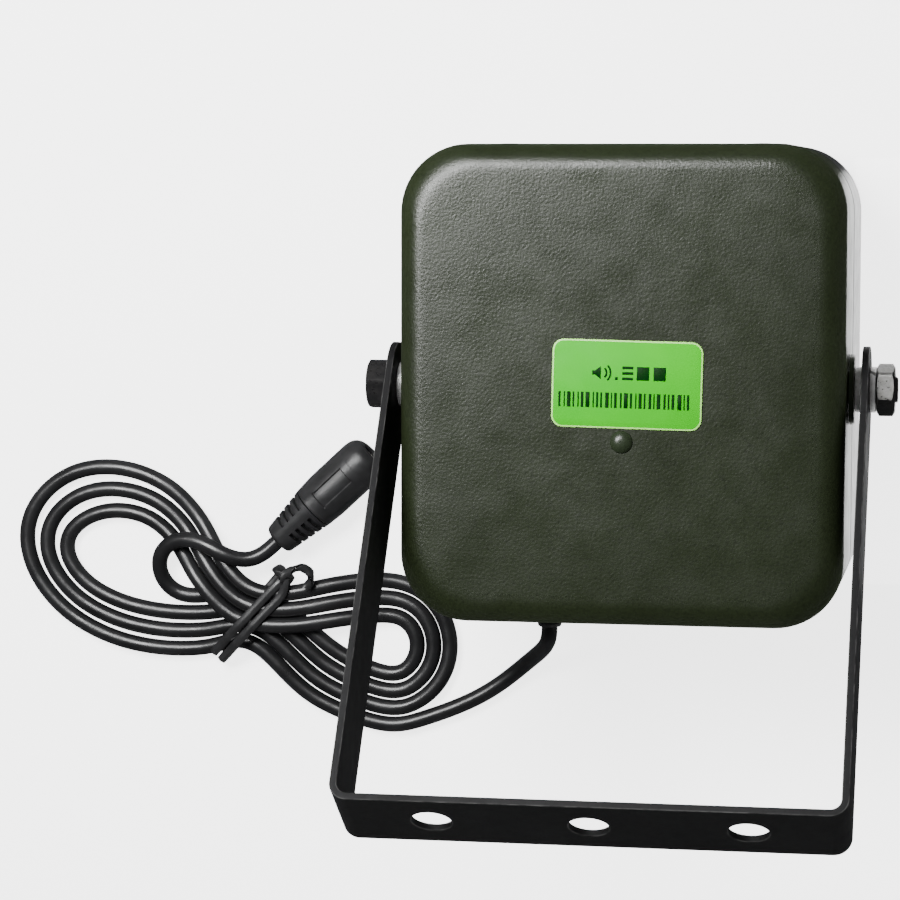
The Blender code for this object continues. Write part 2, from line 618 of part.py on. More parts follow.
def make_pivot_hardware():
    wall = HEAD_WIDTH / 2
    strap_outside = YOKE_WIDTH / 2
    strap_inside = strap_outside - STRAP_THICKNESS
    inside = wall - COVER_WALL
    centre = (PIVOT_Y, PIVOT_Z)

    def ring(name, low, high, outer, inner, paint, sides=28):
        made = cylinder(name, outer, high - low, ((low + high) / 2, *centre), paint, "X", sides)
        drill(made, inner, (high - low) * 3, made.location, "X")
        return made

    # On each side: a painted boss on the wall, and a spacer between it and the strap
    boss_low, boss_high = wall + GAP, wall + GAP + BOSS_THICKNESS
    for side, name in ((-1, "left"), (1, "right")):
        low, high = sorted((side * boss_low, side * boss_high))
        ring("pivot_boss_" + name, low, high, BOSS_RADIUS, BOLT_HOLE_RADIUS, GREEN_BOSS)
        low, high = sorted((side * (boss_high + STACK_GAP), side * (strap_inside - STACK_GAP)))
        ring("pivot_spacer_" + name, low, high, SPACER_RADIUS, BOLT_HOLE_RADIUS, ZINC)

    # Left: a bolt from outside, with its nut captive inside the cover
    head_face = strap_outside + STACK_GAP
    bolt = hexagon("pivot_bolt_left", -head_face - BOLT_HEAD_THICKNESS, -head_face, BLACK_OXIDE,
                   chamfer_low=True)
    shank = cylinder("shank_left", BOLT_RADIUS, head_face - 48 * MM + 1 * MM,
                     (-(head_face + 1 * MM + 48 * MM) / 2, *centre), BLACK_OXIDE, "X", 24, CUTTERS)
    modifier_cut(bolt, shank, "UNION")
    hexagon("captive_nut_left", -inside + GAP, -inside + GAP + 6.5 * MM, ZINC,
            BOLT_HOLE_RADIUS, chamfer_high=True)

    # Right: a bolt from inside, with a spring washer and its nut outside
    stack = strap_outside + STACK_GAP
    washer = ring("spring_washer", stack, stack + SPRING_WASHER, SPRING_WASHER_RADIUS,
                  BOLT_HOLE_RADIUS, ZINC)
    slit = box("slit", (SPRING_WASHER * 3, 1.2 * MM, 5 * MM),
               (stack + SPRING_WASHER / 2, PIVOT_Y, PIVOT_Z + 5.4 * MM), STEEL, collection=CUTTERS)
    slit.rotation_euler.z = radians(25)
    modifier_cut(washer, slit)
    stack += SPRING_WASHER + STACK_GAP
    hexagon("hex_nut", stack, stack + NUT_THICKNESS, ZINC, BOLT_HOLE_RADIUS,
            chamfer_low=True, chamfer_high=True)
    stack += NUT_THICKNESS + THREAD_END
    inner_face = inside - GAP
    bolt = hexagon("pivot_bolt_right", inner_face - 5.3 * MM, inner_face, ZINC, chamfer_low=True)
    shank = cylinder("shank_right", BOLT_RADIUS, stack - inner_face + 1 * MM,
                     ((stack + inner_face - 1 * MM) / 2, *centre), ZINC, "X", 24, CUTTERS)
    modifier_cut(bolt, shank, "UNION")


# Yoke -----------------------------------------------------------------------------------

def make_yoke():
    """A flat strap bent to a U, modelled with its arms along -Y from the pivot, then tilted."""
    half, reach, bend = YOKE_WIDTH / 2, YOKE_REACH, STRAP_BEND
    inner_bend = bend - STRAP_THICKNESS
    corner = (half - bend, bend - reach)
    outline = [(half - STRAP_THICKNESS, 0), (half - STRAP_THICKNESS, corner[1])]
    outline += list(arc(corner, inner_bend, 0, -pi / 2, 4))[1:]
    outline += [(-x, y) for x, y in reversed(outline)]
    outer = [(-half, 0), *[(-x, y) for x, y in list(arc(corner, bend, 0, -pi / 2, 5))]]
    outline += outer + [(-x, y) for x, y in reversed(outer)]
    yoke = as_mesh(flat_curve("yoke", [outline], STRAP_WIDTH, BLACK_PAINT))
    # Round ends about the pivot: a disc joined to each arm
    for side in (-1, 1):
        x = side * (half - STRAP_THICKNESS / 2)
        disc = cylinder("arm_end", STRAP_WIDTH / 2, STRAP_THICKNESS, (x, 0, 0), STEEL, "X", 48,
                        CUTTERS)
        disc.parent = yoke
        modifier_cut(yoke, disc, "UNION")
    pivot_hole = drill(yoke, BOLT_HOLE_RADIUS, YOKE_WIDTH * 1.2, (0, 0, 0), "X")
    pivot_hole.parent = yoke
    for number in (-1, 0, 1):
        place = (number * BASE_HOLE_PITCH, -reach, 0)
        hole = drill(yoke, BASE_HOLE_RADIUS, 12 * MM, place, "Y", 28)
        hole.parent = yoke
    yoke.location = (0, PIVOT_Y, PIVOT_Z)
    yoke.rotation_euler.x = -YOKE_TILT
    smooth(yoke)


# Cord -----------------------------------------------------------------------------------

def hank_outline(first, last, inset, turns=0):
    """Plan points of the hank's edge between two of its turn's points.

    They are moved in by inset, and by the slack that is left between so many turns.
    """
    count = len(HANK_TURN)
    for index in range(first, last):
        before, here, after = (Vector(HANK_TURN[(index + k) % count][:2]) for k in (-1, 0, 1))
        along = (after - before).normalized()
        inward = Vector((along.y, -along.x))
        slack = HANK_TURN[index % count][2] * MM
        yield tuple(here * MM + inward * (inset + slack * turns))


def make_cord():
    """The lead, the tail, and one closed solid for each loop of the hank and for its waist."""
    x, y, z = TIE_CENTRE
    waist_low, waist_high = x - WAIST_LENGTH / 2, x + WAIST_LENGTH / 2
    edge_y = (y - 7.6 * MM, y + 7.4 * MM)
    outside = -1.6 * MM
    turns = HANK_TURNS - 0.5
    inside = turns * TURN_PITCH + CORD_RADIUS
    for name, first, last, edge in (("cord_hank_left", 2, 12, waist_low - GAP),
                                    ("cord_hank_right", 15, 24, waist_high + GAP)):
        ends = [(edge, place) for place in (edge_y if first != 2 else edge_y[::-1])]
        outer = [*hank_outline(first, last, outside), *ends]
        inner = list(hank_outline(first + 1, last - 1, inside, turns))
        slab = flat_curve(name, [outer, inner], HANK_THICKNESS, CORD_PVC)
        slab.location.z = HANK_THICKNESS / 2 + 0.1 * MM
    box("cord_hank_waist", (WAIST_LENGTH, 21.5 * MM, 10 * MM), (x, y, z), CORD_PVC, 3.4 * MM)

    for name, points in (("cord_lead", LEAD_POINTS), ("cord_tail", TAIL_POINTS)):
        route = [(a * MM, b * MM, c * MM) for a, b, c in points]
        tube(name, smooth_route(route, 5.5 * MM), CORD_RADIUS, CORD_PVC)


def make_gland():
    """A strain relief that snaps into the bell's wall and tapers along the cord."""
    wall = HEAD_HEIGHT / 2
    profile = [(2.6, 9), (3.4, 8.6), (4.3, 2.2), (6.4, 1.6), (6.4, 0.3), (4.3, 0.3), (4.3, -4.0),
               (5.1, -4.0), (4.2, -5.8), (2.6, -5.8)]
    gland = turned("cable_gland", [(r * MM, h * MM) for r, h in profile], RUBBER, 20)
    gland.location = (GLAND_X, -wall, GLAND_Z)
    gland.rotation_euler = (pi / 2, 0, 0)


def make_twist_tie():
    """A plastic-covered wire wound once round the waist of the hank."""
    width, height = TIE_SIZE[0] / 2, TIE_SIZE[1] / 2
    outer = rounded_rectangle(width, height, 4 * MM, 4)
    inner = rounded_rectangle(width - TIE_WIRE, height - TIE_WIRE, 4 * MM - TIE_WIRE, 4)
    band = flat_curve("twist_tie", [outer, inner], TIE_WIDTH, BLACK_PLASTIC)
    band.location = TIE_CENTRE
    band.rotation_euler = (pi / 2, 0, pi / 2)


def make_jack():
    """An in-line low-voltage socket: ribbed strain relief, moulded barrel, contacts."""
    anchor = bpy.data.objects.new("jack_axis", None)
    PARTS.objects.link(anchor)
    anchor.location = (*JACK_START, JACK_RADIUS)
    anchor.rotation_euler = (pi / 2, 0, pi / 2 + JACK_TURN)

    relief = [(0, 0), (4.3, 0), (5, 0.8)]
    for rib in range(4):
        start = 3.4 + rib * 2.5
        radius = 4.4 + rib * 0.55
        relief += [(radius + 0.8, start), (radius - 0.3, start + 0.1),
                   (radius - 0.3, start + 1.1), (radius + 1, start + 1.2)]
    relief += [(7, RELIEF_LENGTH / MM), (0, RELIEF_LENGTH / MM)]
    piece = turned("jack_strain_relief", [(r * MM, h * MM) for r, h in reversed(relief)],
                   RUBBER, 14)
    piece.parent = anchor

    start, end, mouth = RELIEF_LENGTH / MM + 0.3, (RELIEF_LENGTH + JACK_LENGTH) / MM, 3.1
    barrel = [(0, end - 12), (mouth, end - 12), (mouth, end - 0.6), (mouth + 0.4, end),
              (4.6, end), (6.3, end - 1.2), (7.3, end - 3.4), (7.5, end - 6), (7.5, start + 5),
              (7, start), (0, start)]
    piece = turned("jack_body", [(r * MM, h * MM) for r, h in barrel], BLACK_PLASTIC, 24)
    piece.parent = anchor
    sleeve = [(2.9, end - 1.2), (2.9, end - 11.6), (2.5, end - 11.6), (2.5, end - 1.2)]
    piece = turned("jack_sleeve_contact", [(r * MM, h * MM) for r, h in sleeve], NICKEL, 24)
    piece.parent = anchor
    pin = [(0, end - 1.6), (0.6, end - 1.7), (1.0, end - 2.4), (1.0, end - 11.6), (0, end - 11.6)]
    piece = turned("jack_centre_pin", [(r * MM, h * MM) for r, h in pin], NICKEL, 12)
    piece.parent = anchor


def place_in_frame():
    """Move everything so that the origin is below the middle of the head and yoke."""
    low_y = PIVOT_Y - YOKE_REACH * cos(YOKE_TILT) - STRAP_WIDTH / 2 * sin(YOKE_TILT)
    low_x = -(YOKE_WIDTH / 2 + STACK_GAP + BOLT_HEAD_THICKNESS)
    high_x = YOKE_WIDTH / 2 + 2 * STACK_GAP + SPRING_WASHER + NUT_THICKNESS + THREAD_END
    high_y = HEAD_HEIGHT / 2 + COVER_SCREW_HEAD
    offset = Vector((-(low_x + high_x) / 2, -(low_y + high_y) / 2, 0))
    for obj in bpy.data.objects:
        if obj.parent is None:
            obj.location += offset


make_rear_cover()
make_cover_screws()
make_gasket()
make_front_bell()
make_reflector()
make_inner_horn()
make_driver()
make_wiring()
make_label_and_rivet()
make_pivot_hardware()
make_yoke()
make_gland()
make_cord()
make_twist_tie()
make_jack()
place_in_frame()
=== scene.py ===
"""Looks of a game caller's horn speaker, lying face down with its yoke raised and its cord tied.

Metres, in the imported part's frame: the painted back faces +Z and the camera, the horn faces -Z.
"""

import json
from math import cos, pi, radians, sin, tan, tau

import bmesh
import bpy
from mathutils import Matrix, Vector


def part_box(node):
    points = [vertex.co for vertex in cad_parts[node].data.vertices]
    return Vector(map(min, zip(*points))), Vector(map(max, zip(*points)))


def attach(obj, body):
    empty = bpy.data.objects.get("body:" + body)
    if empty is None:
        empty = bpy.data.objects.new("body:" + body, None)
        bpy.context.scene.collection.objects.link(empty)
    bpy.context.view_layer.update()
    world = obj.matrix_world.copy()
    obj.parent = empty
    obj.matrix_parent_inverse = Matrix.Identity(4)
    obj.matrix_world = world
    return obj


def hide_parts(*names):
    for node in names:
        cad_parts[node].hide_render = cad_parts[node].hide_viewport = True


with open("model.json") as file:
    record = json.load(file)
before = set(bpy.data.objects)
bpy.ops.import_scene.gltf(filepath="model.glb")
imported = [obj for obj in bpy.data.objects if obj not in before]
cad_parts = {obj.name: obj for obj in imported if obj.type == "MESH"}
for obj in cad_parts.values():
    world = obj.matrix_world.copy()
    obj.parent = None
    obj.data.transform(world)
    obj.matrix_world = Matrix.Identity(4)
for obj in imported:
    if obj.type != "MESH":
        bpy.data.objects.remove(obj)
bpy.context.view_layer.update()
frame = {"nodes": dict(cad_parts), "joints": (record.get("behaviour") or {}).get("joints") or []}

MM = 0.001

# The head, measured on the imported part
COVER_LOW, COVER_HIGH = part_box("rear_cover")
HEAD = Vector(((COVER_LOW.x + COVER_HIGH.x) / 2, (COVER_LOW.y + COVER_HIGH.y) / 2, 0))
HALF_WIDTH = (COVER_HIGH.x - COVER_LOW.x) / 2
HALF_HEIGHT = (COVER_HIGH.y - COVER_LOW.y) / 2
COVER_EDGE_Z, BACK_Z = COVER_LOW.z, COVER_HIGH.z
CORNER_RADIUS = 19 * MM
BACK_EDGE_RADIUS = 7.2 * MM
CROWN = 0.35 * MM
COVER_WALL = 1.2 * MM

# The yoke's pivot, on the axis of its hinge
PIVOT = Vector(next(j for j in frame["joints"] if j["name"] == "yoke_tilt")["pos_m"])
YOKE_TILT = radians(36.3)

# The cord and its socket
CORD_RADIUS = 2.4 * MM
TURN_PITCH = 4.9 * MM
HANK_TURNS = 3
TIE_LIFT = 5.5 * MM  # of the cord's upper layer where the tie holds the hank
JACK_START = HEAD + Vector((-113.5, -53, 7.5)) * MM
JACK_TURN = radians(43)
RELIEF_LENGTH = 15 * MM
JACK_LENGTH = 25 * MM
JACK_END = RELIEF_LENGTH + JACK_LENGTH
GLAND_X, GLAND_Z = -28 * MM, 20 * MM

# The cord's route in mm from the middle of the head: from inside its gland to the hank
LEAD_POINTS = (
    (-28, -68, 20), (-28, -75.8, 20), (-28, -77.4, 19.8), (-28.5, -80.2, 17),
    (-31.4, -84, 11), (-37, -88.8, 4.8), (-43.2, -94.2, 2.7), (-51, -99.6, 2.4),
    (-60, -103.9, 2.4), (-69, -107.2, 2.4),
)
# The outermost turn of the hank: x, y, how far up it is lifted where turns cross, in shares of
# TIE_LIFT, and the slack left there between two turns
HANK_TURN = (
    (-123, -84.6, 0.2, 0), (-137, -87.5, 0, 0.5), (-152, -88.2, 0, 0.8), (-168, -85.3, 0, 0.8),
    (-183, -77.5, 0, 0.6), (-193.5, -65, 0, 0.8), (-196.5, -51, 0, 1.7),
    (-190.5, -38.5, 0, 2.2), (-178, -30.5, 0, 2.2), (-162, -29.8, 0, 1.6),
    (-147, -36, 0, 0.8), (-136.5, -47, 0.1, 0.2), (-129.5, -58, 0.85, 0), (-121.5, -66, 1, 0),
    (-111, -66.5, 1.05, 0), (-96, -62.8, 0.6, 0.5), (-80.9, -61.3, 0, 0.5),
    (-68.9, -64.5, 0, 0), (-60.1, -73.3, 0, 0), (-56.9, -85.3, 0, 0), (-60.1, -97.3, 0, 0),
    (-68.9, -106.1, 0, 0), (-80.9, -109.3, 0, 0.2), (-104, -101.4, 0, 0.4),
)
# The small last loop and the tail that crosses the hank to the socket
TAIL_POINTS = (
    (-135.5, -70.6, 2.4), (-142.6, -71.9, 2.4), (-149.5, -69.1, 2.8), (-152.3, -62.2, 5),
    (-149.5, -55.3, 7.8), (-142.6, -52.5, 8.8), (-136.4, -54, 10.3), (-130.8, -57, 10.9),
    (-125, -59.6, 9.5), (-119.6, -58.8, 8.1), (-115.8, -55.3, 7.6), (-113.5, -53, 7.5),
    (-111, -50.7, 7.5),
)


def new_object(name, data):
    """A new object, in the scene."""
    obj = bpy.data.objects.new(name, data)
    bpy.context.scene.collection.objects.link(obj)
    return obj


# ---- Camera ----

def make_camera():
    """A long lens above the back, posed to overlay the photograph."""
    camera = new_object("camera", bpy.data.cameras.new("camera"))
    camera.data.lens = 128
    camera.data.sensor_width = 36
    camera.data.shift_x = -0.01
    camera.location = HEAD + Vector((107.44, 55.1, 954)) * MM
    camera.rotation_euler = (radians(-4.72), radians(9.9), radians(0.09))
    bpy.context.scene.camera = camera


make_camera()


# ---- Materials ----

class Surface:
    """A Principled material; its textures lie in the piece's own space, their sizes in mm."""

    def __init__(self, name, colour, roughness, metallic=0.0):
        self.material = bpy.data.materials.new(name)
        self.material.use_nodes = True
        self.material.diffuse_color = (*colour, 1)
        self.tree = self.material.node_tree
        self.shader = self.tree.nodes["Principled BSDF"]
        self.set("Base Color", (*colour, 1))
        self.set("Roughness", roughness)
        self.set("Metallic", metallic)
        self.coordinates = self.node("TexCoord", {}).outputs["Object"]
        self.last_bump = None

    def feed(self, socket, value):
        """Link a source to a socket, or give it a constant."""
        if isinstance(value, bpy.types.NodeSocket):
            self.tree.links.new(value, socket)
        else:
            socket.default_value = value

    def set(self, name, value):
        """Feed a socket of the shader."""
        self.feed(self.shader.inputs[name], value)

    def node(self, kind, inputs):
        """A new node, with a source or a constant for each of its inputs named."""
        node = self.tree.nodes.new("ShaderNode" + kind)
        for name, value in inputs.items():
            self.feed(node.inputs[name], value)
        return node

    def noise(self, size, detail, stretch=(1, 1, 1)):
        """Noise whose blotches are about size across, longer along an axis with stretch over 1."""
        scale = [1 / (size * MM * s) for s in stretch]
        scaled = self.node("Mapping", {"Vector": self.coordinates, "Scale": scale})
        return self.node("TexNoise", {"Vector": scaled.outputs["Vector"], "Scale": 1.0,
                                      "Detail": detail, "Roughness": 0.5}).outputs["Fac"]

    def remap(self, source, low, high, start=0.3, end=0.7):
        """source from start to end, as low to high."""
        return self.node("MapRange", {"Value": source, "From Min": start, "From Max": end,
                                      "To Min": low, "To Max": high}).outputs["Result"]

    def masked(self, source, name):
        """source times a value stored on the mesh."""
        stored = self.node("Attribute", {})
        stored.attribute_name = name
        node = self.node("Math", {0: stored.outputs["Fac"], 1: source})
        node.operation = "MULTIPLY"
        return node.outputs["Value"]

    def tint(self, source, colour):
        """Mix the base colour so far towards a colour, by source from 0 to 1."""
        mix = self.node("Mix", {0: source})
        mix.data_type = "RGBA"
        base = self.shader.inputs["Base Color"]
        before = base.links[0].from_socket if base.is_linked else base.default_value
        self.feed(mix.inputs[6], before)
        self.feed(mix.inputs[7], (*colour, 1))
        self.feed(base, mix.outputs[2])

    def mottle(self, size, detail, most, colour, start=0.3, end=0.7, stretch=(1, 1, 1)):
        """Patches about size across, mixed towards a colour by a share of most."""
        patches = self.noise(size, detail, stretch)
        self.tint(self.remap(patches, 0, most, start, end), colour)

    def rough(self, size, detail, low, high):
        """Roughness that drifts from low to high over patches about size across."""
        self.set("Roughness", self.remap(self.noise(size, detail), low, high))

    def bump(self, size, detail, depth, stretch=(1, 1, 1)):
        """Relief in lumps about size across and depth deep, on top of any before."""
        node = self.node("Bump", {"Height": self.noise(size, detail, stretch),
                                  "Distance": depth * MM, "Strength": 1.0})
        if self.last_bump:
            self.feed(node.inputs["Normal"], self.last_bump)
        self.last_bump = node.outputs["Normal"]
        self.set("Normal", self.last_bump)


def powder_coat(name, colour, roughness, peel=0.9, depth=0.05):
    """Semi-gloss paint baked from powder: a fine orange peel, cloudy in colour and gloss."""
    lighter, darker, speck = [[channel * factor for channel in colour]
                              for factor in (1.3, 0.6, 1.9)]
    coat = Surface(name, colour, roughness)
    coat.mottle(38, 4, 1, lighter)
    coat.mottle(0.9, 4, 0.6, darker, 0.48, 0.68)
    coat.mottle(0.6, 3, 0.4, speck, 0.55, 0.72)
    coat.rough(9, 5, roughness * 0.88, roughness * 1.14)
    coat.bump(peel, 2, depth)
    coat.bump(peel * 0.28, 3, depth * 0.25)
    return coat


def make_paints():
    """The powder coats: the cover's, a lit copy of it as painted light, and the yoke's, paler at
    its edges.
    """
    green = powder_coat("green_powder_coat", (0.0112, 0.0158, 0.0064), 0.33, 0.8, 0.07)
    # A lighter copy of the cover's green for the rivet and the bosses: painted light, standing in
    # for the light on them
    lit_green_copy = powder_coat("green_coat_painted_lit", (0.018, 0.026, 0.013), 0.3)
    black = powder_coat("black_powder_coat", (0.006, 0.006, 0.0063), 0.62, 0.6, 0.02)
    black.set("Specular IOR Level", 0.22)
    # Lighter grey in patches along the yoke's eased edges
    edge_patches = black.remap(black.noise(4, 5), 0.1, 0.8, 0.4, 0.75)
    black.tint(black.masked(edge_patches, "edge"), (0.1, 0.1, 0.098))
    return {"green": green, "lit_green_copy": lit_green_copy, "black": black}


def make_metals():
    """The bolts, nuts and washers, and the metal parts of the driver and the socket."""
    oxide = Surface("black_oxide", (0.018, 0.018, 0.019), 0.3, 0.55)
    oxide.mottle(2.5, 5, 0.7, (0.045, 0.043, 0.042))
    oxide.rough(1.2, 4, 0.24, 0.42)
    oxide.bump(0.3, 4, 0.012)

    zinc = Surface("zinc_plate", (0.24, 0.24, 0.235), 0.34, 1.0)
    zinc.mottle(3.5, 4, 0.6, (0.16, 0.157, 0.14))
    zinc.mottle(1.0, 6, 0.5, (0.08, 0.08, 0.08), 0.5, 0.75)
    zinc.rough(0.8, 5, 0.24, 0.5)
    zinc.bump(0.25, 3, 0.01, (1, 1, 4))

    # The washers' zinc: a far lighter, less metallic copy of the nuts' zinc, painted light so that
    # the washers read bright in the head's shade
    painted_light_zinc = Surface("washer_zinc_painted_light", (0.74, 0.74, 0.73), 0.4, 0.3)
    painted_light_zinc.mottle(2, 4, 0.6, (0.55, 0.55, 0.53))
    painted_light_zinc.mottle(0.7, 5, 0.5, (0.28, 0.28, 0.27), 0.55, 0.75)
    painted_light_zinc.rough(0.8, 4, 0.32, 0.5)
    painted_light_zinc.bump(0.25, 3, 0.01, (4, 1, 1))

    cast = Surface("cast_aluminium", (0.52, 0.52, 0.53), 0.45, 1.0)
    cast.mottle(1.5, 6, 0.6, (0.38, 0.38, 0.385))
    cast.rough(1, 4, 0.36, 0.6)
    cast.bump(0.6, 4, 0.06)

    copper = Surface("enamelled_copper", (0.52, 0.19, 0.07), 0.3, 1.0)
    copper.mottle(0.3, 2, 0.7, (0.3, 0.09, 0.03), stretch=(30, 30, 1))
    copper.bump(0.3, 1, 0.05, (30, 30, 1))

    nickel = Surface("nickel_plate", (0.6, 0.57, 0.52), 0.22, 1.0)
    nickel.mottle(1, 5, 0.6, (0.42, 0.39, 0.34))
    nickel.rough(0.7, 4, 0.16, 0.36)
    return {"oxide": oxide, "zinc": zinc, "painted_light_zinc": painted_light_zinc, "aluminium": cast,
            "copper": copper, "nickel": nickel}


def make_plastics():
    """The black mouldings, the cord's and socket's PVC, the rubber and the red wire."""
    plastic = Surface("moulded_black_plastic", (0.012, 0.0125, 0.0125), 0.34)
    plastic.mottle(20, 4, 0.6, (0.026, 0.026, 0.026))
    plastic.rough(4, 4, 0.28, 0.4)
    plastic.bump(0.35, 3, 0.012)

    rubber = Surface("black_rubber", (0.014, 0.014, 0.0145), 0.58)
    rubber.mottle(2, 5, 0.6, (0.024, 0.024, 0.024))
    rubber.rough(3, 4, 0.48, 0.68)
    rubber.bump(0.25, 4, 0.015)

    cord = Surface("cord_pvc", (0.0075, 0.0075, 0.008), 0.3)
    cord.mottle(14, 3, 0.6, (0.019, 0.019, 0.02))
    cord.mottle(1.1, 5, 0.3, (0.03, 0.03, 0.032), 0.6, 0.78)
    cord.rough(6, 4, 0.26, 0.4)
    cord.bump(5, 2, 0.12)
    cord.bump(0.5, 3, 0.006)

    socket = Surface("socket_pvc", (0.013, 0.013, 0.0135), 0.36)
    socket.mottle(5, 4, 0.7, (0.024, 0.024, 0.025))
    socket.rough(2.5, 4, 0.3, 0.46)
    socket.bump(0.3, 3, 0.012)

    red = Surface("red_wire_pvc", (0.42, 0.018, 0.015), 0.36)
    red.mottle(4, 3, 0.6, (0.3, 0.012, 0.01))
    red.bump(0.6, 3, 0.01)
    return {"plastic": plastic, "rubber": rubber, "cord": cord, "socket": socket, "red": red}


def make_label_surfaces():
    """The label's lime film, its pale cut edge and its ink."""
    film = Surface("lime_film", (0.035, 0.5, 0.001), 0.4)
    film.set("Specular IOR Level", 0.08)
    film.mottle(16, 2, 0.75, (0.018, 0.4, 0.001))
    film.mottle(0.3, 3, 0.25, (0.06, 0.6, 0.003), 0.5, 0.8)
    film.rough(5, 3, 0.36, 0.48)
    film.bump(7, 2, 0.05)

    edge = Surface("film_edge", (0.42, 0.86, 0.2), 0.4)
    edge.mottle(1.5, 3, 0.6, (0.3, 0.78, 0.1))
    edge.bump(0.4, 2, 0.01)

    ink = Surface("green_ink", (0.001, 0.022, 0.002), 0.5)
    ink.set("Specular IOR Level", 0.06)
    ink.mottle(0.35, 3, 0.8, (0.004, 0.06, 0.004), 0.45, 0.75)
    ink.bump(0.3, 2, 0.005)
    return {"film": film, "film_edge": edge, "ink": ink}


def make_driver_surfaces():
    """What the driver has besides metal and plastic: ferrite, pressed resin and foam."""
    ferrite = Surface("ferrite", (0.03, 0.03, 0.033), 0.62)
    ferrite.mottle(0.6, 5, 0.8, (0.06, 0.06, 0.064))
    ferrite.bump(0.5, 5, 0.05)

    board = Surface("pressed_resin", (0.13, 0.055, 0.022), 0.48)
    board.mottle(1.2, 4, 0.8, (0.2, 0.095, 0.04), stretch=(5, 1, 1))
    board.bump(0.5, 3, 0.02, (4, 1, 1))

    foam = Surface("grey_foam", (0.07, 0.07, 0.075), 0.92)
    foam.mottle(0.8, 4, 1, (0.13, 0.13, 0.135))
    foam.bump(0.7, 4, 0.5)
    return {"ferrite": ferrite, "phenolic": board, "foam": foam}


SURFACES = {**make_paints(), **make_metals(), **make_plastics(), **make_label_surfaces(),
            **make_driver_surfaces()}


# ---- Mesh helpers ----

SHARP = 35.0  # degrees between faces, over which an edge stays sharp


def metres(pairs):
    """Pairs of lengths in mm, as metres."""
    return [(first * MM, second * MM) for first, second in pairs]


def add_piece(name, mesh, paint, slot, *replaced, body="head"):
    """A piece that rides on a body, takes a material and stands for CAD nodes."""
    mesh.name = name
    piece = new_object(name, mesh)
    piece.data.materials.clear()
    piece.data.materials.append(SURFACES[paint].material)
    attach(piece, body)
    if replaced:
        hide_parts(*replaced)
    return piece


def mesh_of(bm):
    """bm's mesh; bm is freed."""
    mesh = bpy.data.meshes.new("mesh")
    bm.to_mesh(mesh)
    bm.free()
    return mesh


def finish_mesh(bm, angle=SHARP, matrix=None):
    """A smooth-shaded mesh of bm, with its normals out and edges sharper than angle kept."""
    bmesh.ops.recalc_face_normals(bm, faces=bm.faces)
    mesh = mesh_of(bm)
    if matrix is not None:
        mesh.transform(matrix)
    mesh.shade_smooth()
    mesh.set_sharp_from_angle(angle=radians(angle))
    return mesh


def skin(rows, ring=False, angle=SHARP, matrix=None):
    """A mesh over rows of equal numbers of points; a row of one point is a pole."""
    bm = bmesh.new()
    made = [[bm.verts.new(point) for point in row] for row in rows]
    pairs = list(zip(made, made[1:])) + ([(made[-1], made[0])] if ring else [])
    for lower, upper in pairs:
        count = max(len(lower), len(upper))
        for i in range(count):
            corners = [lower[(i - 1) % len(lower)], lower[i % len(lower)],
                       upper[i % len(upper)], upper[(i - 1) % len(upper)]]
            corners = list(dict.fromkeys(corners))
            if len(corners) > 2:
                bm.faces.new(corners)
    if not ring:
        for row in (made[0], made[-1]):
            if len(row) > 2:
                bm.faces.new(row)
    return finish_mesh(bm, angle, matrix)


def turned(profile, steps, ring=False, angle=SHARP, matrix=None, shape=None):
    """A profile of (radius, height) turned about Z; shape(radius, height, turn) may dent it."""
    rows = []
    for radius, height in profile:
        if radius == 0:
            rows.append([(0, 0, height)])
            continue
        row = []
        for step in range(steps):
            turn = tau * step / steps
            r = shape(radius, height, turn) if shape else radius
            row.append((r * cos(turn), r * sin(turn), height))
        rows.append(row)
    return skin(rows, ring, angle, matrix)


def arc(centre, radius, start, end, count):
    """Points on an arc in a plane, both ends among them; angles in degrees."""
    for i in range(count + 1):
        turn = radians(start + (end - start) * i / count)
        yield centre[0] + radius * cos(turn), centre[1] + radius * sin(turn)


def through(points, steps=12):
    """A Catmull-Rom curve through points, with steps points a span."""
    route = [Vector(point) for point in points]
    route = [2 * route[0] - route[1], *route, 2 * route[-1] - route[-2]]
    fine = []
    for before, start, end, after in zip(route, route[1:], route[2:], route[3:]):
        for step in range(steps):
            t = step / steps
            fine.append(0.5 * (2 * start + (end - before) * t
                               + (2 * before - 5 * start + 4 * end - after) * t ** 2
                               + (3 * start - before - 3 * end + after) * t ** 3))
    return [*fine, route[-2]]


def even(points, spacing):
    """Points at even spacing along a line of points."""
    lengths = [0.0]
    for a, b in zip(points, points[1:]):
        lengths.append(lengths[-1] + (b - a).length)
    count = round(lengths[-1] / spacing)
    found, span = [], 0
    for i in range(count):
        target = lengths[-1] * i / count
        while lengths[span + 1] < target:
            span += 1
        share = (target - lengths[span]) / (lengths[span + 1] - lengths[span])
        found.append(points[span].lerp(points[span + 1], share))
    return [*found, points[-1]]


def relaxed(points, passes):
    """A line of points with its small kinks smoothed out, its ends kept."""
    for _ in range(passes):
        inner = [b * 0.5 + (a + c) * 0.25 for a, b, c in zip(points, points[1:], points[2:])]
        points = [*points[:2], *inner[1:-1], *points[-2:]]
    return points


def rounded_rectangle(half_width, half_height, radius, segments=14):
    """Anticlockwise points of a rectangle with round corners."""
    points = []
    for quarter, (sx, sy) in enumerate(((1, 1), (-1, 1), (-1, -1), (1, -1))):
        centre = (sx * (half_width - radius), sy * (half_height - radius))
        points += arc(centre, radius, quarter * 90, quarter * 90 + 90, segments)
    return points


def head_section(inset, height):
    """The head's outline moved in by inset, at a height; its corners tighten as it shrinks."""
    radius = max(CORNER_RADIUS - 0.34 * inset, 4 * MM) if inset > 0 else CORNER_RADIUS
    outline = rounded_rectangle(HALF_WIDTH - inset, HALF_HEIGHT - inset, radius)
    return [(HEAD.x + x, HEAD.y + y, height) for x, y in outline]


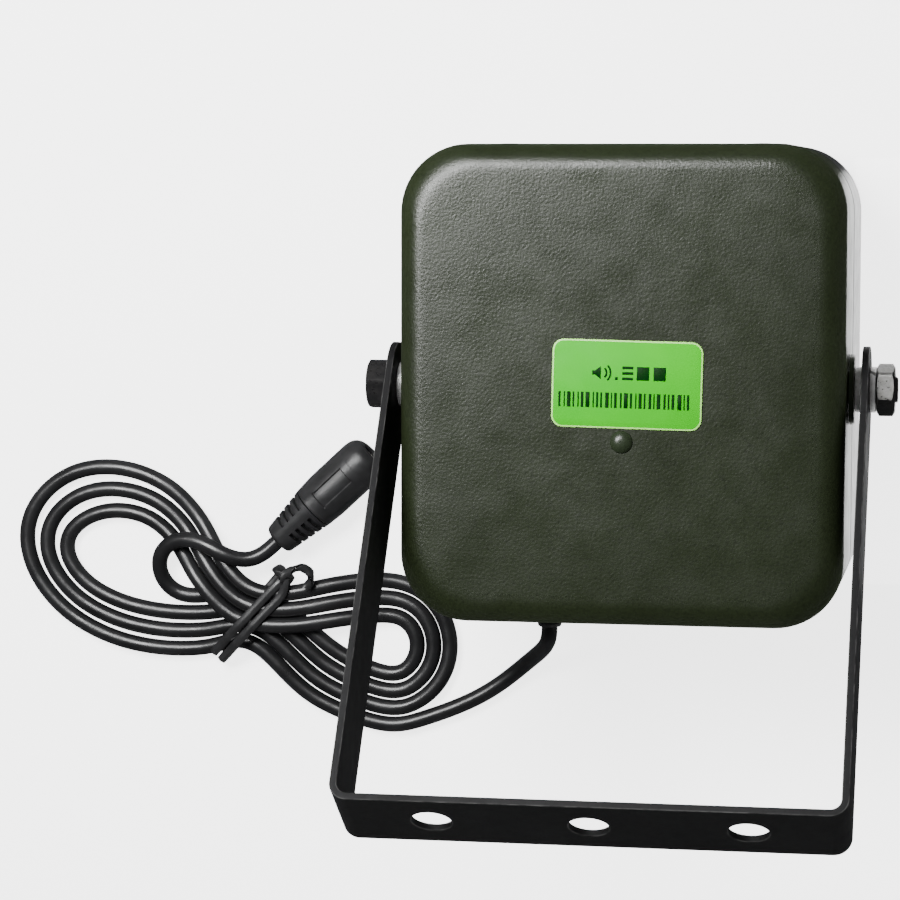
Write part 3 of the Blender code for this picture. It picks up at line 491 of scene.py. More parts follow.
def along_x(x, side=1):
    """Takes a shape turned about Z to the pivot's axis, its height then along X from x."""
    place = Matrix.Translation((x, PIVOT.y, PIVOT.z))
    return place @ Matrix.Rotation(side * pi / 2, 4, "Y")


def joined(*meshes):
    """One mesh of several."""
    bm = bmesh.new()
    for mesh in meshes:
        bm.from_mesh(mesh)
        bpy.data.meshes.remove(mesh)
    return mesh_of(bm)


def cut(mesh, cutter):
    """mesh with cutter taken away; both meshes are used up."""
    objects = [new_object("shape", m) for m in (mesh, cutter)]
    boolean = objects[0].modifiers.new("cut", "BOOLEAN")
    boolean.operation = "DIFFERENCE"
    boolean.object = objects[1]
    graph = bpy.context.evaluated_depsgraph_get()
    result = bpy.data.meshes.new_from_object(objects[0].evaluated_get(graph))
    for obj in objects:
        bpy.data.objects.remove(obj)
    result.shade_smooth()
    result.set_sharp_from_angle(angle=radians(SHARP))
    return result


def cube(size, matrix):
    """A box of a size, placed by a matrix."""
    bm = bmesh.new()
    bmesh.ops.create_cube(bm, size=1)
    bmesh.ops.scale(bm, vec=size, verts=bm.verts)
    mesh = mesh_of(bm)
    mesh.transform(matrix)
    return mesh


def add_spline(curve, points):
    """A straight-sided spline through points."""
    spline = curve.splines.new("POLY")
    spline.points.add(len(points) - 1)
    for point, place in zip(spline.points, points):
        point.co = (*place, 1)
    return spline


# ---- Cord ----

def hank_point(progress):
    """A point of the hank after progress turns: each turn lies a cord's width inside the last."""
    count = len(HANK_TURN)
    index = round(progress * count) % count
    before, here, after = (Vector(HANK_TURN[(index + k) % count][:3]) for k in (-1, 0, 1))
    along = (after - before).xy.normalized()
    pitch = TURN_PITCH + HANK_TURN[index][3] * MM
    place = here.xy * MM + Vector((along.y, -along.x)) * progress * pitch
    return Vector((place.x, place.y, CORD_RADIUS + here.z * TIE_LIFT))


def cord_route():
    """The cord's centreline: the lead, three turns of the hank, the small loop and the tail."""
    count = len(HANK_TURN)
    hank = [hank_point(step / count) for step in range(-2, HANK_TURNS * count + 1)]
    lead, tail = ([Vector(p) * MM for p in part] for part in (LEAD_POINTS, TAIL_POINTS))
    points = [*lead, *hank, *tail]
    fine = even(through(points), 1.5 * MM)
    return [HEAD + point for point in even(relaxed(fine, 14), 1.2 * MM)]


def make_cord():
    """The cord as one curve, and its length."""
    route = cord_route()
    curve = bpy.data.curves.new("cord", "CURVE")
    curve.dimensions = "3D"
    curve.bevel_depth = CORD_RADIUS
    curve.bevel_resolution = 5
    curve.use_fill_caps = True
    add_spline(curve, route).use_smooth = True
    cord = add_piece("speaker_cord", curve, "cord", "cord_pvc", "cord_lead", "cord_tail",
                     "cord_hank_left", "cord_hank_right", "cord_hank_waist")
    return cord, sum((b - a).length for a, b in zip(route, route[1:]))


def make_gland():
    """The moulded bush that holds the cord in the wall, grooved so that it can bend."""
    sleeve = [(2.45, -5.8), (4.1, -5.8), (5.0, -4.1), (4.2, -4.0), (4.2, 0.25), (6.1, 0.25),
              (6.4, 0.55), (6.4, 1.3), (6.1, 1.65), (4.5, 1.9), (4.3, 2.4), (4.2, 3.3),
              (3.7, 3.45), (3.7, 4.15), (4.1, 4.3), (4.0, 5.2), (3.55, 5.35), (3.55, 6.05),
              (3.85, 6.2), (3.75, 7.0), (3.35, 7.15), (3.35, 7.8), (3.6, 7.95), (3.4, 8.7),
              (3.05, 9.0), (2.45, 9.0)]
    wall = HEAD + Vector((GLAND_X, -HALF_HEIGHT, GLAND_Z))
    matrix = Matrix.Translation(wall) @ Matrix.Rotation(pi / 2, 4, "X")
    mesh = turned(metres(sleeve), 48, True, 40, matrix)
    return add_piece("cord_gland", mesh, "rubber", "rubber", "cable_gland")


def jack_matrix():
    """Takes Z to the socket's axis; -X then points up."""
    return (Matrix.Translation(JACK_START) @ Matrix.Rotation(JACK_TURN, 4, "Z")
            @ Matrix.Rotation(pi / 2, 4, "Y"))


def make_strain_relief():
    """A moulded taper with four slots on each side, left joined by a rib above and below."""
    slots, first_slot, pitch, depth = 4, 4.8 * MM, 2.5 * MM, 1.4 * MM
    open_share, rib = 0.44, 0.28  # of a pitch; the sine of half the ribs' angle

    def slotted(radius, height, turn):
        """The radius with the slots cut in."""
        place = (height - first_slot) / pitch
        in_slot = 0 <= place < slots and place % 1 < open_share
        across = abs(sin(turn))
        if not in_slot or across < rib:
            return radius
        return radius - depth * min(1, (across - rib) * 9)

    blunt = ((0, 0), (4.0, 0), (4.5, 0.2), (4.85, 0.6))
    taper = ((5.0 + 2.0 * step / 90, 1 + 13.9 * step / 90) for step in range(91))
    profile = [*metres(blunt), *metres(taper), (0, RELIEF_LENGTH)]
    mesh = turned(profile, 112, angle=30, matrix=jack_matrix(), shape=slotted)
    return add_piece("socket_strain_relief", mesh, "socket", "rubber", "jack_strain_relief")


def below_mouth(pairs):
    """A profile in metres from radii and depths in mm below the socket's mouth."""
    return [(radius * MM, JACK_END - depth * MM) for radius, depth in pairs]


def make_jack_body():
    """The barrel: it swells behind the relief, has a sunk panel on top and a round nose."""
    start = RELIEF_LENGTH + 0.15 * MM
    panel = start + 9.6 * MM  # the middle of the sunk panels
    panel_half_width, panel_half_length, panel_depth = 2.9 * MM, 5.8 * MM, 0.4 * MM

    def gripped(radius, height, turn):
        """The radius with the panels sunk in."""
        if radius < 5 * MM:
            return radius
        across = abs(((turn + pi / 2) % pi) - pi / 2) * radius
        past = max(across - panel_half_width, abs(height - panel) - panel_half_length)
        return radius - panel_depth if past < 0 else radius

    profile = [(0, start), (6.9 * MM, start), (7.08 * MM, start + 0.25 * MM)]
    length = JACK_END - 7 * MM - start
    for step in range(1, 56):
        share = step / 56
        swell = min(1, share * 3)
        radius = (7.1 + 0.35 * swell * swell * (3 - 2 * swell)) * MM
        profile.append((radius, start + 0.25 * MM + share * (length - 0.25 * MM)))
    nose = through([(7.42, -7), (7.45, -6), (7.3, -3.6), (6.75, -1.9), (5.8, -0.7), (4.6, -0.05),
                    (4.0, 0)], 5)
    profile += [(p.x * MM, JACK_END + p.y * MM) for p in nose]
    profile += below_mouth(((3.5, 0.05), (3.15, 0.5), (3.1, 12), (0, 12)))
    mesh = turned(profile, 144, angle=30, matrix=jack_matrix(), shape=gripped)
    return add_piece("socket_body", mesh, "socket", "black_plastic", "jack_body")


def make_jack_contacts():
    """The socket's sleeve contact and its centre pin, inside the barrel."""
    sleeve = below_mouth(((2.9, 1.2), (2.9, 11.6), (2.5, 11.6), (2.5, 1.4), (2.6, 1.2)))
    tip = [(radius, JACK_END - 2.6 * MM + height)
           for radius, height in arc((0, 0), 1.0 * MM, 90, 0, 8)]
    pin = [(0, tip[0][1]), *tip[1:], *below_mouth(((1.0, 11.6), (0, 11.6)))]
    return (add_piece("socket_sleeve", turned(sleeve, 48, True, 30, jack_matrix()), "nickel",
                      "nickel", "jack_sleeve_contact"),
            add_piece("socket_pin", turned(pin, 32, False, 30, jack_matrix()), "nickel",
                      "nickel", "jack_centre_pin"))


TIE_WIDTH, TIE_THICKNESS = 2.7 * MM, 0.9 * MM
TIE_CENTRE = HEAD + Vector((-122.3, -76.4, 0)) * MM
TIE_SLANT = Matrix.Rotation(radians(-42), 3, "Z")
TWIST_START = HEAD + Vector((-110.9, -63.7, 11.9)) * MM
# Round the waist of the hank in mm: across it, up
TIE_OUTLINE = (
    (17.3, 4), (17.3, 8), (15.7, 10.6), (12.5, 11.2), (5, 11.2), (-3, 11.2), (-8, 10),
    (-12.5, 7.2), (-15.8, 5.8), (-17.6, 4.4), (-17.8, 2.4), (-16.6, 0.9), (-14, 0.55),
    (-7, 0.55), (0, 0.55), (7, 0.55), (13, 0.55), (16.3, 1.4),
)


def direction_at(route, i):
    """The direction of a route at its point i."""
    return (route[min(i + 1, len(route) - 1)] - route[max(i - 1, 0)]).normalized()


def ribbon(route, outward):
    """A flat tie with a wire along its middle, on a route with an outward direction a point."""
    half, thin = TIE_WIDTH / 2, TIE_THICKNESS / 2
    upper = [(1, 0), (0.9, 0.45), (0.5, 0.6), (0.24, 1), (-0.24, 1), (-0.5, 0.6), (-0.9, 0.45)]
    section = [(a * half, b * thin) for a, b in upper]
    section += [(-a, -b) for a, b in section]
    rows = []
    for i, place in enumerate(route):
        along = direction_at(route, i)
        side = along.cross(outward[i]).normalized()
        up = side.cross(along)
        rows.append([place + side * a + up * b for a, b in section])
    return skin(rows, angle=60)


def make_windings():
    """Two windings of the tie, slantwise round the waist of the hank."""
    count = len(TIE_OUTLINE)
    first, last = 3, 2 * count + 2
    route = []
    for i in range(first, last + 1):
        across, up = TIE_OUTLINE[i % count]
        drift = (0.5 - (i - first) / (last - first)) * 6.4
        route.append(TIE_CENTRE + TIE_SLANT @ Vector((drift, across, up)) * MM)
    sideways = TIE_SLANT @ Vector((0.6, 0, 0)) * MM
    route = [TWIST_START + sideways, *route, TWIST_START - sideways]
    fine = relaxed(even(through(route, 6), 0.7 * MM), 4)
    axis = TIE_SLANT @ Vector((-1, 0, 0))
    return ribbon(fine, [axis.cross(direction_at(fine, i)).normalized() for i in range(len(fine))])


def make_tie_ends():
    """The two ends of the tie, twisted round each other and bent over in a loop."""
    spine = [TWIST_START + Vector(p) * MM for p in
             ((-0.9, -1, -0.1), (0.5, 0.5, 0.3), (3, 2.4, 0.9), (5.8, 3, 0.6), (8, 1.6, -0.2),
              (8.2, -1, -0.8), (6.8, -3.2, -1.1))]
    line = even(through(spine), 0.45 * MM)
    meshes = []
    for phase in (0, pi):
        route, outward = [], []
        for i, place in enumerate(line):
            along = direction_at(line, i)
            side = along.cross(Vector((0, 0, 1))).normalized()
            up = side.cross(along)
            turn = phase + i * 0.23
            direction = side * cos(turn) + up * sin(turn)
            route.append(place + direction * 0.55 * MM)
            outward.append(direction)
        meshes.append(ribbon(route, outward))
    return joined(*meshes)


def make_tie():
    """The wired tie round the hank."""
    mesh = joined(make_windings(), make_tie_ends())
    return add_piece("cord_twist_tie", mesh, "socket", "black_plastic", "twist_tie")


def make_cord_and_socket():
    """The cord with all that rides on it."""
    cord, length = make_cord()
    pieces = [make_gland(), make_strain_relief(), make_jack_body(), *make_jack_contacts(),
              make_tie()]


make_cord_and_socket()


# ---- Head ----

def crowned(row):
    """The row of points lifted by the back's shallow crown, which is level in the middle."""
    lifted = []
    for x, y, z in row:
        across = abs(x - HEAD.x) / (HALF_WIDTH - BACK_EDGE_RADIUS)
        up = abs(y - HEAD.y) / (HALF_HEIGHT - BACK_EDGE_RADIUS)
        share = max(0, 1 - across ** 4) * max(0, 1 - up ** 4)
        lifted.append((x, y, z + CROWN * share))
    return lifted


def make_cover():
    """The deep-drawn pan: a crowned back that rolls over a wide round edge into the walls."""
    def shell(wall):
        """Rows from the open edge to the middle, for the skin that lies wall deep."""
        radius = BACK_EDGE_RADIUS - wall
        edge = BACK_Z - wall - CROWN
        rows = [head_section(wall, COVER_EDGE_Z + 0.25 * MM), head_section(wall, edge - radius)]
        for step in range(9, 91, 9):
            angle = radians(step)
            inset = wall + radius * (1 - cos(angle))
            rows.append(head_section(inset, edge - radius * (1 - sin(angle))))
        for share in (0.04, 0.1, 0.2, 0.35, 0.55, 0.8):
            inset = BACK_EDGE_RADIUS + share * (HALF_WIDTH - BACK_EDGE_RADIUS - 4 * MM)
            rows.append(crowned(head_section(inset, edge)))
        return rows

    lip = [head_section(inset, COVER_EDGE_Z) for inset in (0.3 * MM, COVER_WALL - 0.3 * MM)]
    rows = shell(0)[::-1] + lip + shell(COVER_WALL)
    add_piece("cover_pressing", skin(rows, angle=50), "green", "green_paint", "rear_cover")


def make_gasket():
    """The rubber seal between the cover and the front moulding."""
    low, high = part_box("cover_gasket")
    rows = [(0.5 * MM, low.z), (0.25 * MM, (low.z + high.z) / 2), (0.5 * MM, high.z),
            (1.3 * MM, high.z), (1.3 * MM, low.z)]
    add_piece("cover_seal", skin([head_section(*row) for row in rows], ring=True), "rubber",
              "rubber", "cover_gasket")


def make_screws():
    """Thin wafer-head screws with a cross recess, in the walls of the cover."""
    for number in range(1, 5):
        node = f"cover_screw_{number}"
        low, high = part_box(node)
        side = 1 if high.y > HEAD.y else -1
        wall = HEAD.y + side * HALF_HEIGHT
        dome = [(0, 0.45), (1.6, 0.45), (2.4, 0.42), (2.9, 0.32), (3.1, 0.18), (1.45, 0.15),
                (1.45, -5.8), (0, -7.2)]
        place = Matrix.Translation(((low.x + high.x) / 2, wall, (low.z + high.z) / 2))
        matrix = place @ Matrix.Rotation(-side * pi / 2, 4, "X")
        mesh = turned(metres(dome), 48, angle=30, matrix=matrix)
        for turn in (0.3 * number, 0.3 * number + pi / 2):
            slot = matrix @ Matrix.Rotation(turn, 4, "Z") @ Matrix.Translation((0, 0, 0.2 * MM))
            mesh = cut(mesh, cube((2.5 * MM, 0.6 * MM, 1.4 * MM), slot))
        add_piece(f"wafer_screw_{number}", mesh, "zinc", "zinc", node)


def make_bell():
    """The front moulding: the wall, the rolled rim and the flare down to the throat."""
    lip, wall = COVER_WALL + 0.3 * MM, 2.2 * MM
    shoulder, top, throat = 42.8 * MM, 52 * MM, 40.5 * MM
    rim = 3 * MM
    steps = [(lip, shoulder), (0.25 * MM, shoulder), (0, shoulder - 0.25 * MM)]
    steps += [(rim - x, rim - y) for x, y in arc((0, 0), rim, 0, 90, 9)]
    flare = [(4.0, 0), (4.5, 0.12), (5.0, 0.5), (5.4, 1.1), (7.2, 7), (10, 14), (14.5, 21.5),
             (20.5, 28.5), (27, 34), (34, 38.3)]
    steps += [(p.x * MM, max(p.y, 0) * MM) for p in through(flare, 5)]
    steps += [(34.2 * MM, throat), (23 * MM, throat), (23 * MM, 34.5 * MM)]
    steps += [((inset - 1.6) * MM, (height + 2.6) * MM) for inset, height in flare[8:5:-1]]
    steps += [(lip + wall, 10 * MM), (lip + wall, top), (lip, top)]
    rows = [head_section(*step) for step in steps]
    add_piece("horn_moulding", skin(rows, ring=True, angle=40), "plastic", "black_plastic",
              "front_bell")


def make_reflector():
    """The bullet that hangs in the mouth and folds the horn."""
    def section(inset, height):
        """Its outline moved in by inset mm, at a height in mm."""
        half = 21 * MM - inset * MM
        outline = rounded_rectangle(half, half + 4.5 * MM, half * 0.45, 12)
        return [(HEAD.x + x, HEAD.y + y, height * MM) for x, y in outline]

    outer = through([(0, 32.6), (0.1, 26), (0.6, 17), (1.7, 11.2), (4.2, 8.2), (8, 6.8),
                     (13, 6.2), (19.4, 6.05)], 5)
    inner = through([(19.4, 8.5), (11, 8.8), (7, 9.8), (4.6, 12), (3.2, 17), (2.6, 26),
                     (2.4, 32.6)], 4)
    rows = [section(*step) for step in (*inner, (2.1, 33), (0.3, 33), *outer)]
    add_piece("reflector_bullet", skin(rows, angle=50), "plastic", "black_plastic",
              "horn_reflector")


def make_posts():
    """The studs that hold the reflector, with a collar at each end."""
    for number in range(1, 5):
        node = f"reflector_post_{number}"
        low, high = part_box(node)
        length = (high.z - low.z) / MM
        profile = [(0, 0), (1.7, 0), (1.9, 0.2), (1.9, 1.4), (1.5, 2.0), (1.5, length - 2.0),
                   (1.9, length - 1.4), (1.9, length - 0.2), (1.7, length), (0, length)]
        matrix = Matrix.Translation(((low.x + high.x) / 2, (low.y + high.y) / 2, low.z))
        mesh = turned(metres(profile), 32, angle=30, matrix=matrix)
        add_piece(f"reflector_stud_{number}", mesh, "aluminium", "aluminium", node)


def make_inner_horn():
    """The narrow horn from the driver down into the reflector."""
    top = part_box("inner_horn")[1].z / MM
    outer = [(15, top), (15, 38.8), (14.6, 38.4), (12.2, 37.8), (11.8, 37.2), (11.8, 32),
             (12.3, 28), (13, 25), (14.6, 19), (15.5, 16.2), (15.3, 15.98)]
    inner = [(14.8, 15.98), (14.5, 16.2), (13.4, 19), (11.9, 25), (10.9, 30), (10.3, 35), (10, top)]
    mesh = turned(metres(outer + inner), 64, True, matrix=Matrix.Translation(HEAD))
    add_piece("throat_horn", mesh, "plastic", "black_plastic", "inner_horn")


def make_rivet():
    """The blind rivet's painted dome, with its paint drawn thin round the edge."""
    low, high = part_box("rear_rivet")
    height, seat = high.z - BACK_Z, 0.12 * MM
    shoulder = seat + 0.15 * MM
    radius, shank, depth = (high.x - low.x) / 2, 1.6 * MM, 3.4 * MM
    dome = [(0, height)]
    for share in (0.12, 0.25, 0.4, 0.55, 0.7, 0.82, 0.92, 0.98):
        dome.append((radius * share, shoulder + (height - shoulder) * (1 - share ** 2.6)))
    dome += [(radius, seat + 0.1 * MM), (radius * 0.985, seat), (shank, seat), (shank, -depth),
             (0, -depth)]
    matrix = Matrix.Translation(((low.x + high.x) / 2, (low.y + high.y) / 2, BACK_Z))
    mesh = turned(dome, 56, angle=45, matrix=matrix)
    # The rivet takes the lighter copy of the cover's green: painted light for the highlight on its
    # dome
    add_piece("back_rivet", mesh, "lit_green_copy", "green_paint", "rear_rivet")


# ---- Label ----

LABEL_TURN = radians(-1.2)
LABEL_HALF_WIDTH, LABEL_HALF_HEIGHT = 20.75 * MM, 12.15 * MM
LABEL_CORNER = 3.2 * MM
LABEL_BORDER = 0.5 * MM


def plate(outline, low, high, bevel, matrix):
    """A thin plate on an outline of (x, y) points, its upper edge rounded by bevel."""
    def row(inset, height):
        """The outline moved in by inset, at a height."""
        points = []
        for i, (x, y) in enumerate(outline):
            before, after = Vector(outline[i - 1]), Vector(outline[(i + 1) % len(outline)])
            along = (after - before).normalized()
            points.append((x - along.y * inset, y + along.x * inset, height))
        return points

    rows = [row(0, low), row(0, high - bevel), row(bevel * 0.3, high - bevel * 0.3),
            row(bevel, high)]
    return skin(rows, angle=60, matrix=matrix)


def label_sheet(border, low, high, bevel, matrix):
    """The label's outline moved in by a border, as a plate."""
    outline = rounded_rectangle(LABEL_HALF_WIDTH - border, LABEL_HALF_HEIGHT - border,
                                LABEL_CORNER - border, 10)
    return plate(outline, low, high, bevel, matrix)


def label_blocks():
    """Centres and sizes in mm of the label's plain printed blocks and bars."""
    blocks = [(-2.9, 1.6, 0.8, 0.8), (0.2, 3.1, 3.0, 0.75), (0.2, 4.6, 3.0, 0.75),
              (0.2, 1.6, 3.0, 0.75), (4.4, 3.1, 3.4, 3.7), (9.0, 3.1, 3.4, 3.7)]
    widths = (5, 3, 8, 4, 3, 6, 9, 3, 5, 4, 8, 3, 6, 4, 9, 5, 3, 7, 4, 6, 3, 8, 5, 4, 6, 9, 3, 5)
    x = -18.8
    for number, eighths in enumerate(widths):
        width = eighths * 0.125
        blocks.append((x + width / 2, -4.4, width, 4.2))
        x += width + (0.55 if number % 3 else 0.85)
    return blocks


def print_outlines():
    """What stands for print, in mm: blocks, bars and a loudspeaker sign with two bows."""
    outlines = [[(x - w / 2, y - h / 2), (x + w / 2, y - h / 2), (x + w / 2, y + h / 2),
                 (x - w / 2, y + h / 2)] for x, y, w, h in label_blocks()]
    outlines.append([(-9.6, 2.5), (-8.8, 2.5), (-7.2, 1.3), (-7.2, 4.9), (-8.8, 3.7), (-9.6, 3.7)])
    for reach in (1.5, 2.6):
        outlines.append([*arc((-7.4, 3.1), reach, -45, 45, 8),
                         *arc((-7.4, 3.1), reach + 0.5, 45, -45, 8)])
    return outlines


def make_label():
    """A printed film label: a pale cut edge, a lime face, and bars where print would be."""
    low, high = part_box("rating_label")
    centre = (low + high) / 2
    matrix = Matrix.Translation((centre.x, centre.y, 0)) @ Matrix.Rotation(LABEL_TURN, 4, "Z")
    film = label_sheet(0, low.z - 0.1 * MM, high.z - 0.06 * MM, 0.12 * MM, matrix)
    add_piece("label_film", film, "film_edge", "label", "rating_label")
    face = label_sheet(LABEL_BORDER, high.z - 0.08 * MM, high.z - 0.02 * MM, 0.03 * MM, matrix)
    add_piece("label_face", face, "film", "label")
    inks = [plate(metres(outline), high.z - 0.03 * MM, high.z + 0.01 * MM, 0.012 * MM, matrix)
            for outline in print_outlines()]
    add_piece("label_print", joined(*inks), "ink", "label")


# ---- Pivot hardware ----

ACROSS_FLATS = 13 * MM
THREAD_PITCH = 1.25 * MM
THREAD_RADIUS = 3.95 * MM
NUT_BORE = 4.1 * MM
BOLT_HOLE = 4.3 * MM  # radius of every hole round a bolt
BOLT_HEAD = 5.3 * MM  # height of the right bolt's head


def hexagon(matrix, high, bore=0.0, chamfer_low=True, chamfer_high=True, turn=0.0, dish=0.0):
    """A hexagonal head or nut about Z from 0 to high, with its corners eased and chamfered."""
    half = ACROSS_FLATS / 2
    flat = half * 0.955
    steps = 96
    turns = [tau * step / steps for step in range(steps)]
    ease = 44  # a higher power gives sharper corners

    def row(radius, height):
        """A circle, or a pole where radius is 0."""
        return [(radius * cos(a), radius * sin(a), height) for a in (turns if radius else [0])]

    def side_row(share, chamfered, face, sign):
        """A share of the way from a circle to the hexagon, sunk below face by the chamfer."""
        points = []
        for angle in turns:
            total = sum(abs(cos(angle - turn - k * pi / 3)) ** ease for k in range(3))
            reach = half / total ** (1 / ease) - flat
            drop = reach * tan(radians(30)) if chamfered else 0
            radius = flat + reach * share
            points.append((radius * cos(angle), radius * sin(angle), face + sign * drop * share))
        return points

    rows = [row(bore, 0.5 * MM), row(bore + 0.45 * MM, 0)] if bore else [row(0, 0)]
    rows += [row(flat * 0.97, 0), side_row(0, chamfer_low, 0, 1), side_row(1, chamfer_low, 0, 1)]
    rows += [side_row(1, chamfer_high, high, -1), side_row(0, chamfer_high, high, -1)]
    if bore:
        rows += [row(bore + 0.45 * MM, high), row(bore, high - 0.5 * MM)]
    else:
        rows += [row(flat * 0.9, high), row(flat * 0.82, high - dish), row(0, high - dish)]
    return skin(rows, ring=bool(bore), angle=32, matrix=matrix)


def threaded(radius, low, high, matrix):
    """A threaded shank about Z, chamfered at its high end."""
    depth, rows_a_pitch, steps = 0.6 * MM, 8, 48
    count = round((high - low) / THREAD_PITCH * rows_a_pitch)
    rows = [[(0, 0, low)]]
    for i in range(count + 1):
        height = low + (high - low) * i / count
        row = []
        for step in range(steps):
            turn = tau * step / steps
            phase = (height / THREAD_PITCH + turn / tau) % 1
            groove = depth * max(0, 1 - abs(phase - 0.5) * 2.6)
            limit = radius - max(0, height - high + 0.7 * MM)
            r = min(radius - groove, limit)
            row.append((r * cos(turn), r * sin(turn), height))
        rows.append(row)
    rows.append([(0, 0, high)])
    return skin(rows, angle=60, matrix=matrix)


def make_spring_washer(low, high):
    """A split ring of square wire, its ends sprung a little apart."""
    bore, outer, thickness = BOLT_HOLE, (high.y - low.y) / 2, high.x - low.x
    gap, spring, steps = radians(11), 0.08 * MM, 60
    section = [(bore, 0.1), (bore + 0.1 * MM, 0), (outer - 0.1 * MM, 0), (outer, 0.1),
               (outer, 0.9), (outer - 0.1 * MM, 1), (bore + 0.1 * MM, 1), (bore, 0.9)]
    rows = []
    for step in range(steps + 1):
        share = step / steps
        rows.append([])
        for radius, level in section:
            lean = (level - 0.5) * radians(10)
            turn = gap / 2 + share * (tau - gap) + lean
            height = level * thickness * 0.94 + (share - 0.5) * spring * 2 + 0.03 * thickness
            rows[-1].append((radius * cos(turn), radius * sin(turn), height))
    return skin(rows, angle=40, matrix=along_x(low.x) @ Matrix.Rotation(radians(130), 4, "Z"))


def make_collar(side, name):
    """A painted boss on the head's side, its outer edge rounded."""
    low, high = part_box(f"pivot_boss_{name}")
    thickness, outer, ease = high.x - low.x, (high.y - low.y) / 2, 0.45 * MM
    near = low.x if side > 0 else high.x
    collar = [(BOLT_HOLE, 0), (outer, 0), (outer, thickness - ease)]
    collar += arc((outer - ease, thickness - ease), ease, 15, 90, 5)
    collar += [(6.6 * MM, thickness), (6.5 * MM, thickness - 0.1 * MM), (BOLT_HOLE, thickness)]
    # The boss takes the lighter copy of the cover's green: painted light
    add_piece(f"pivot_collar_{name}", turned(collar, 80, True, matrix=along_x(near, side)),
              "lit_green_copy", "dark_green_paint", f"pivot_boss_{name}")


def make_spacer(name):
    """The plain washer between a boss and the yoke, its outer edges eased."""
    low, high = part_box(f"pivot_spacer_{name}")
    outer, thickness, edge = (high.y - low.y) / 2, high.x - low.x, 0.2 * MM
    ring = [(BOLT_HOLE, 0), (outer - edge, 0), (outer, edge), (outer, thickness - edge),
            (outer - edge, thickness), (BOLT_HOLE, thickness)]
    # The spacer takes the zinc with painted light, lighter than the nuts', so that it reads bright
    # in the shade
    add_piece(f"spacer_ring_{name}", turned(ring, 72, True, matrix=along_x(low.x)), "painted_light_zinc",
              "zinc", f"pivot_spacer_{name}")


def make_nut(node, name, turn):
    """A plated nut in the place of a CAD node, turned by turn degrees."""
    low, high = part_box(node)
    mesh = hexagon(along_x(low.x), high.x - low.x, NUT_BORE, turn=radians(turn))
    add_piece(name, mesh, "zinc", "zinc", node)


def make_left_bolt():
    """The blackened bolt, its head outside the yoke and its shank inwards."""
    low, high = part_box("pivot_bolt_left")
    head_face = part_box("yoke")[0].x - 0.15 * MM
    matrix = along_x(head_face, -1)
    head = hexagon(matrix, head_face - low.x, chamfer_low=False, turn=radians(41), dish=0.25 * MM)
    shank = threaded(THREAD_RADIUS, head_face - high.x, 0.2 * MM, matrix)
    add_piece("hex_bolt_left", joined(head, shank), "oxide", "black_oxide", "pivot_bolt_left")


def make_right_bolt():
    """The plated bolt, its head inside the cover and its threaded end out through the nut."""
    low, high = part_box("pivot_bolt_right")
    matrix = along_x(low.x)
    head = hexagon(matrix, BOLT_HEAD, chamfer_high=False, turn=radians(30))
    shank = threaded(THREAD_RADIUS, BOLT_HEAD - 0.2 * MM, high.x - low.x, matrix)
    add_piece("hex_bolt_right", joined(head, shank), "zinc", "zinc", "pivot_bolt_right")


def make_pivots():
    """Both pivots, from the head outwards."""
    for side, name in ((-1, "left"), (1, "right")):
        make_collar(side, name)
        make_spacer(name)
    make_left_bolt()
    make_nut("captive_nut_left", "inside_nut_left", 30)
    # The split washer takes the same zinc with painted light
    add_piece("split_washer", make_spring_washer(*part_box("spring_washer")), "painted_light_zinc", "zinc",
              "spring_washer")
    make_nut("hex_nut", "outside_nut_right", 50)
    make_right_bolt()


# ---- Yoke ----

YOKE_HALF = 67.5 * MM  # half its width, outside
YOKE_REACH = 136 * MM
STRAP_HALF_WIDTH = 12 * MM
STRAP_THICKNESS = 2 * MM
BEND = 4 * MM  # radius of the bends, on the strap's middle surface
BASE_HALF = YOKE_HALF - STRAP_THICKNESS / 2 - BEND
BEND_LENGTH = BEND * pi / 2
ARM = YOKE_REACH - STRAP_THICKNESS / 2 - BEND
BASE_HOLE, BASE_PITCH = 5.4 * MM, 41.5 * MM  # the three holes' radius and distance apart


def flat_strap():
    """The strap before bending: its blank with round ends and five holes, and eased edges."""
    half_length = BASE_HALF + BEND_LENGTH + ARM
    blank = list(arc((half_length, 0), STRAP_HALF_WIDTH, -90, 90, 40))
    blank += [(-x, -y) for x, y in blank]
    holes = [(sign * half_length, BOLT_HOLE) for sign in (-1, 1)]
    holes += [(number * BASE_PITCH, BASE_HOLE) for number in (-1, 0, 1)]
    curve = bpy.data.curves.new("blank", "CURVE")
    curve.dimensions = "2D"
    curve.fill_mode = "BOTH"
    curve.extrude = STRAP_THICKNESS / 2
    for outline in (blank, *[list(arc((x, 0), r, 0, 353, 60)) for x, r in holes]):
        add_spline(curve, [(x, y, 0) for x, y in outline]).use_cyclic_u = True
    shape = new_object("blank", curve)
    graph = bpy.context.evaluated_depsgraph_get()
    mesh = bpy.data.meshes.new_from_object(shape.evaluated_get(graph))
    bpy.data.objects.remove(shape)

    bm = bmesh.new()
    bm.from_mesh(mesh)
    bmesh.ops.remove_doubles(bm, verts=bm.verts, dist=1e-6)
    bmesh.ops.dissolve_limit(bm, angle_limit=radians(1), verts=bm.verts, edges=bm.edges)
    sharp = [e for e in bm.edges if e.is_manifold and e.calc_face_angle(0) > radians(60)]
    bmesh.ops.bevel(bm, geom=sharp, offset=0.32 * MM, segments=3, profile=0.5, affect="EDGES")
    # Marks the eased edges, where the yoke's black paint turns lighter in patches
    edge_mask = bm.verts.layers.float.new("edge")
    for vert in bm.verts:
        on_bevel = all(0.1 < abs(face.normal.z) < 0.99 for face in vert.link_faces)
        vert[edge_mask] = 1.0 if on_bevel else 0.0
    return bm


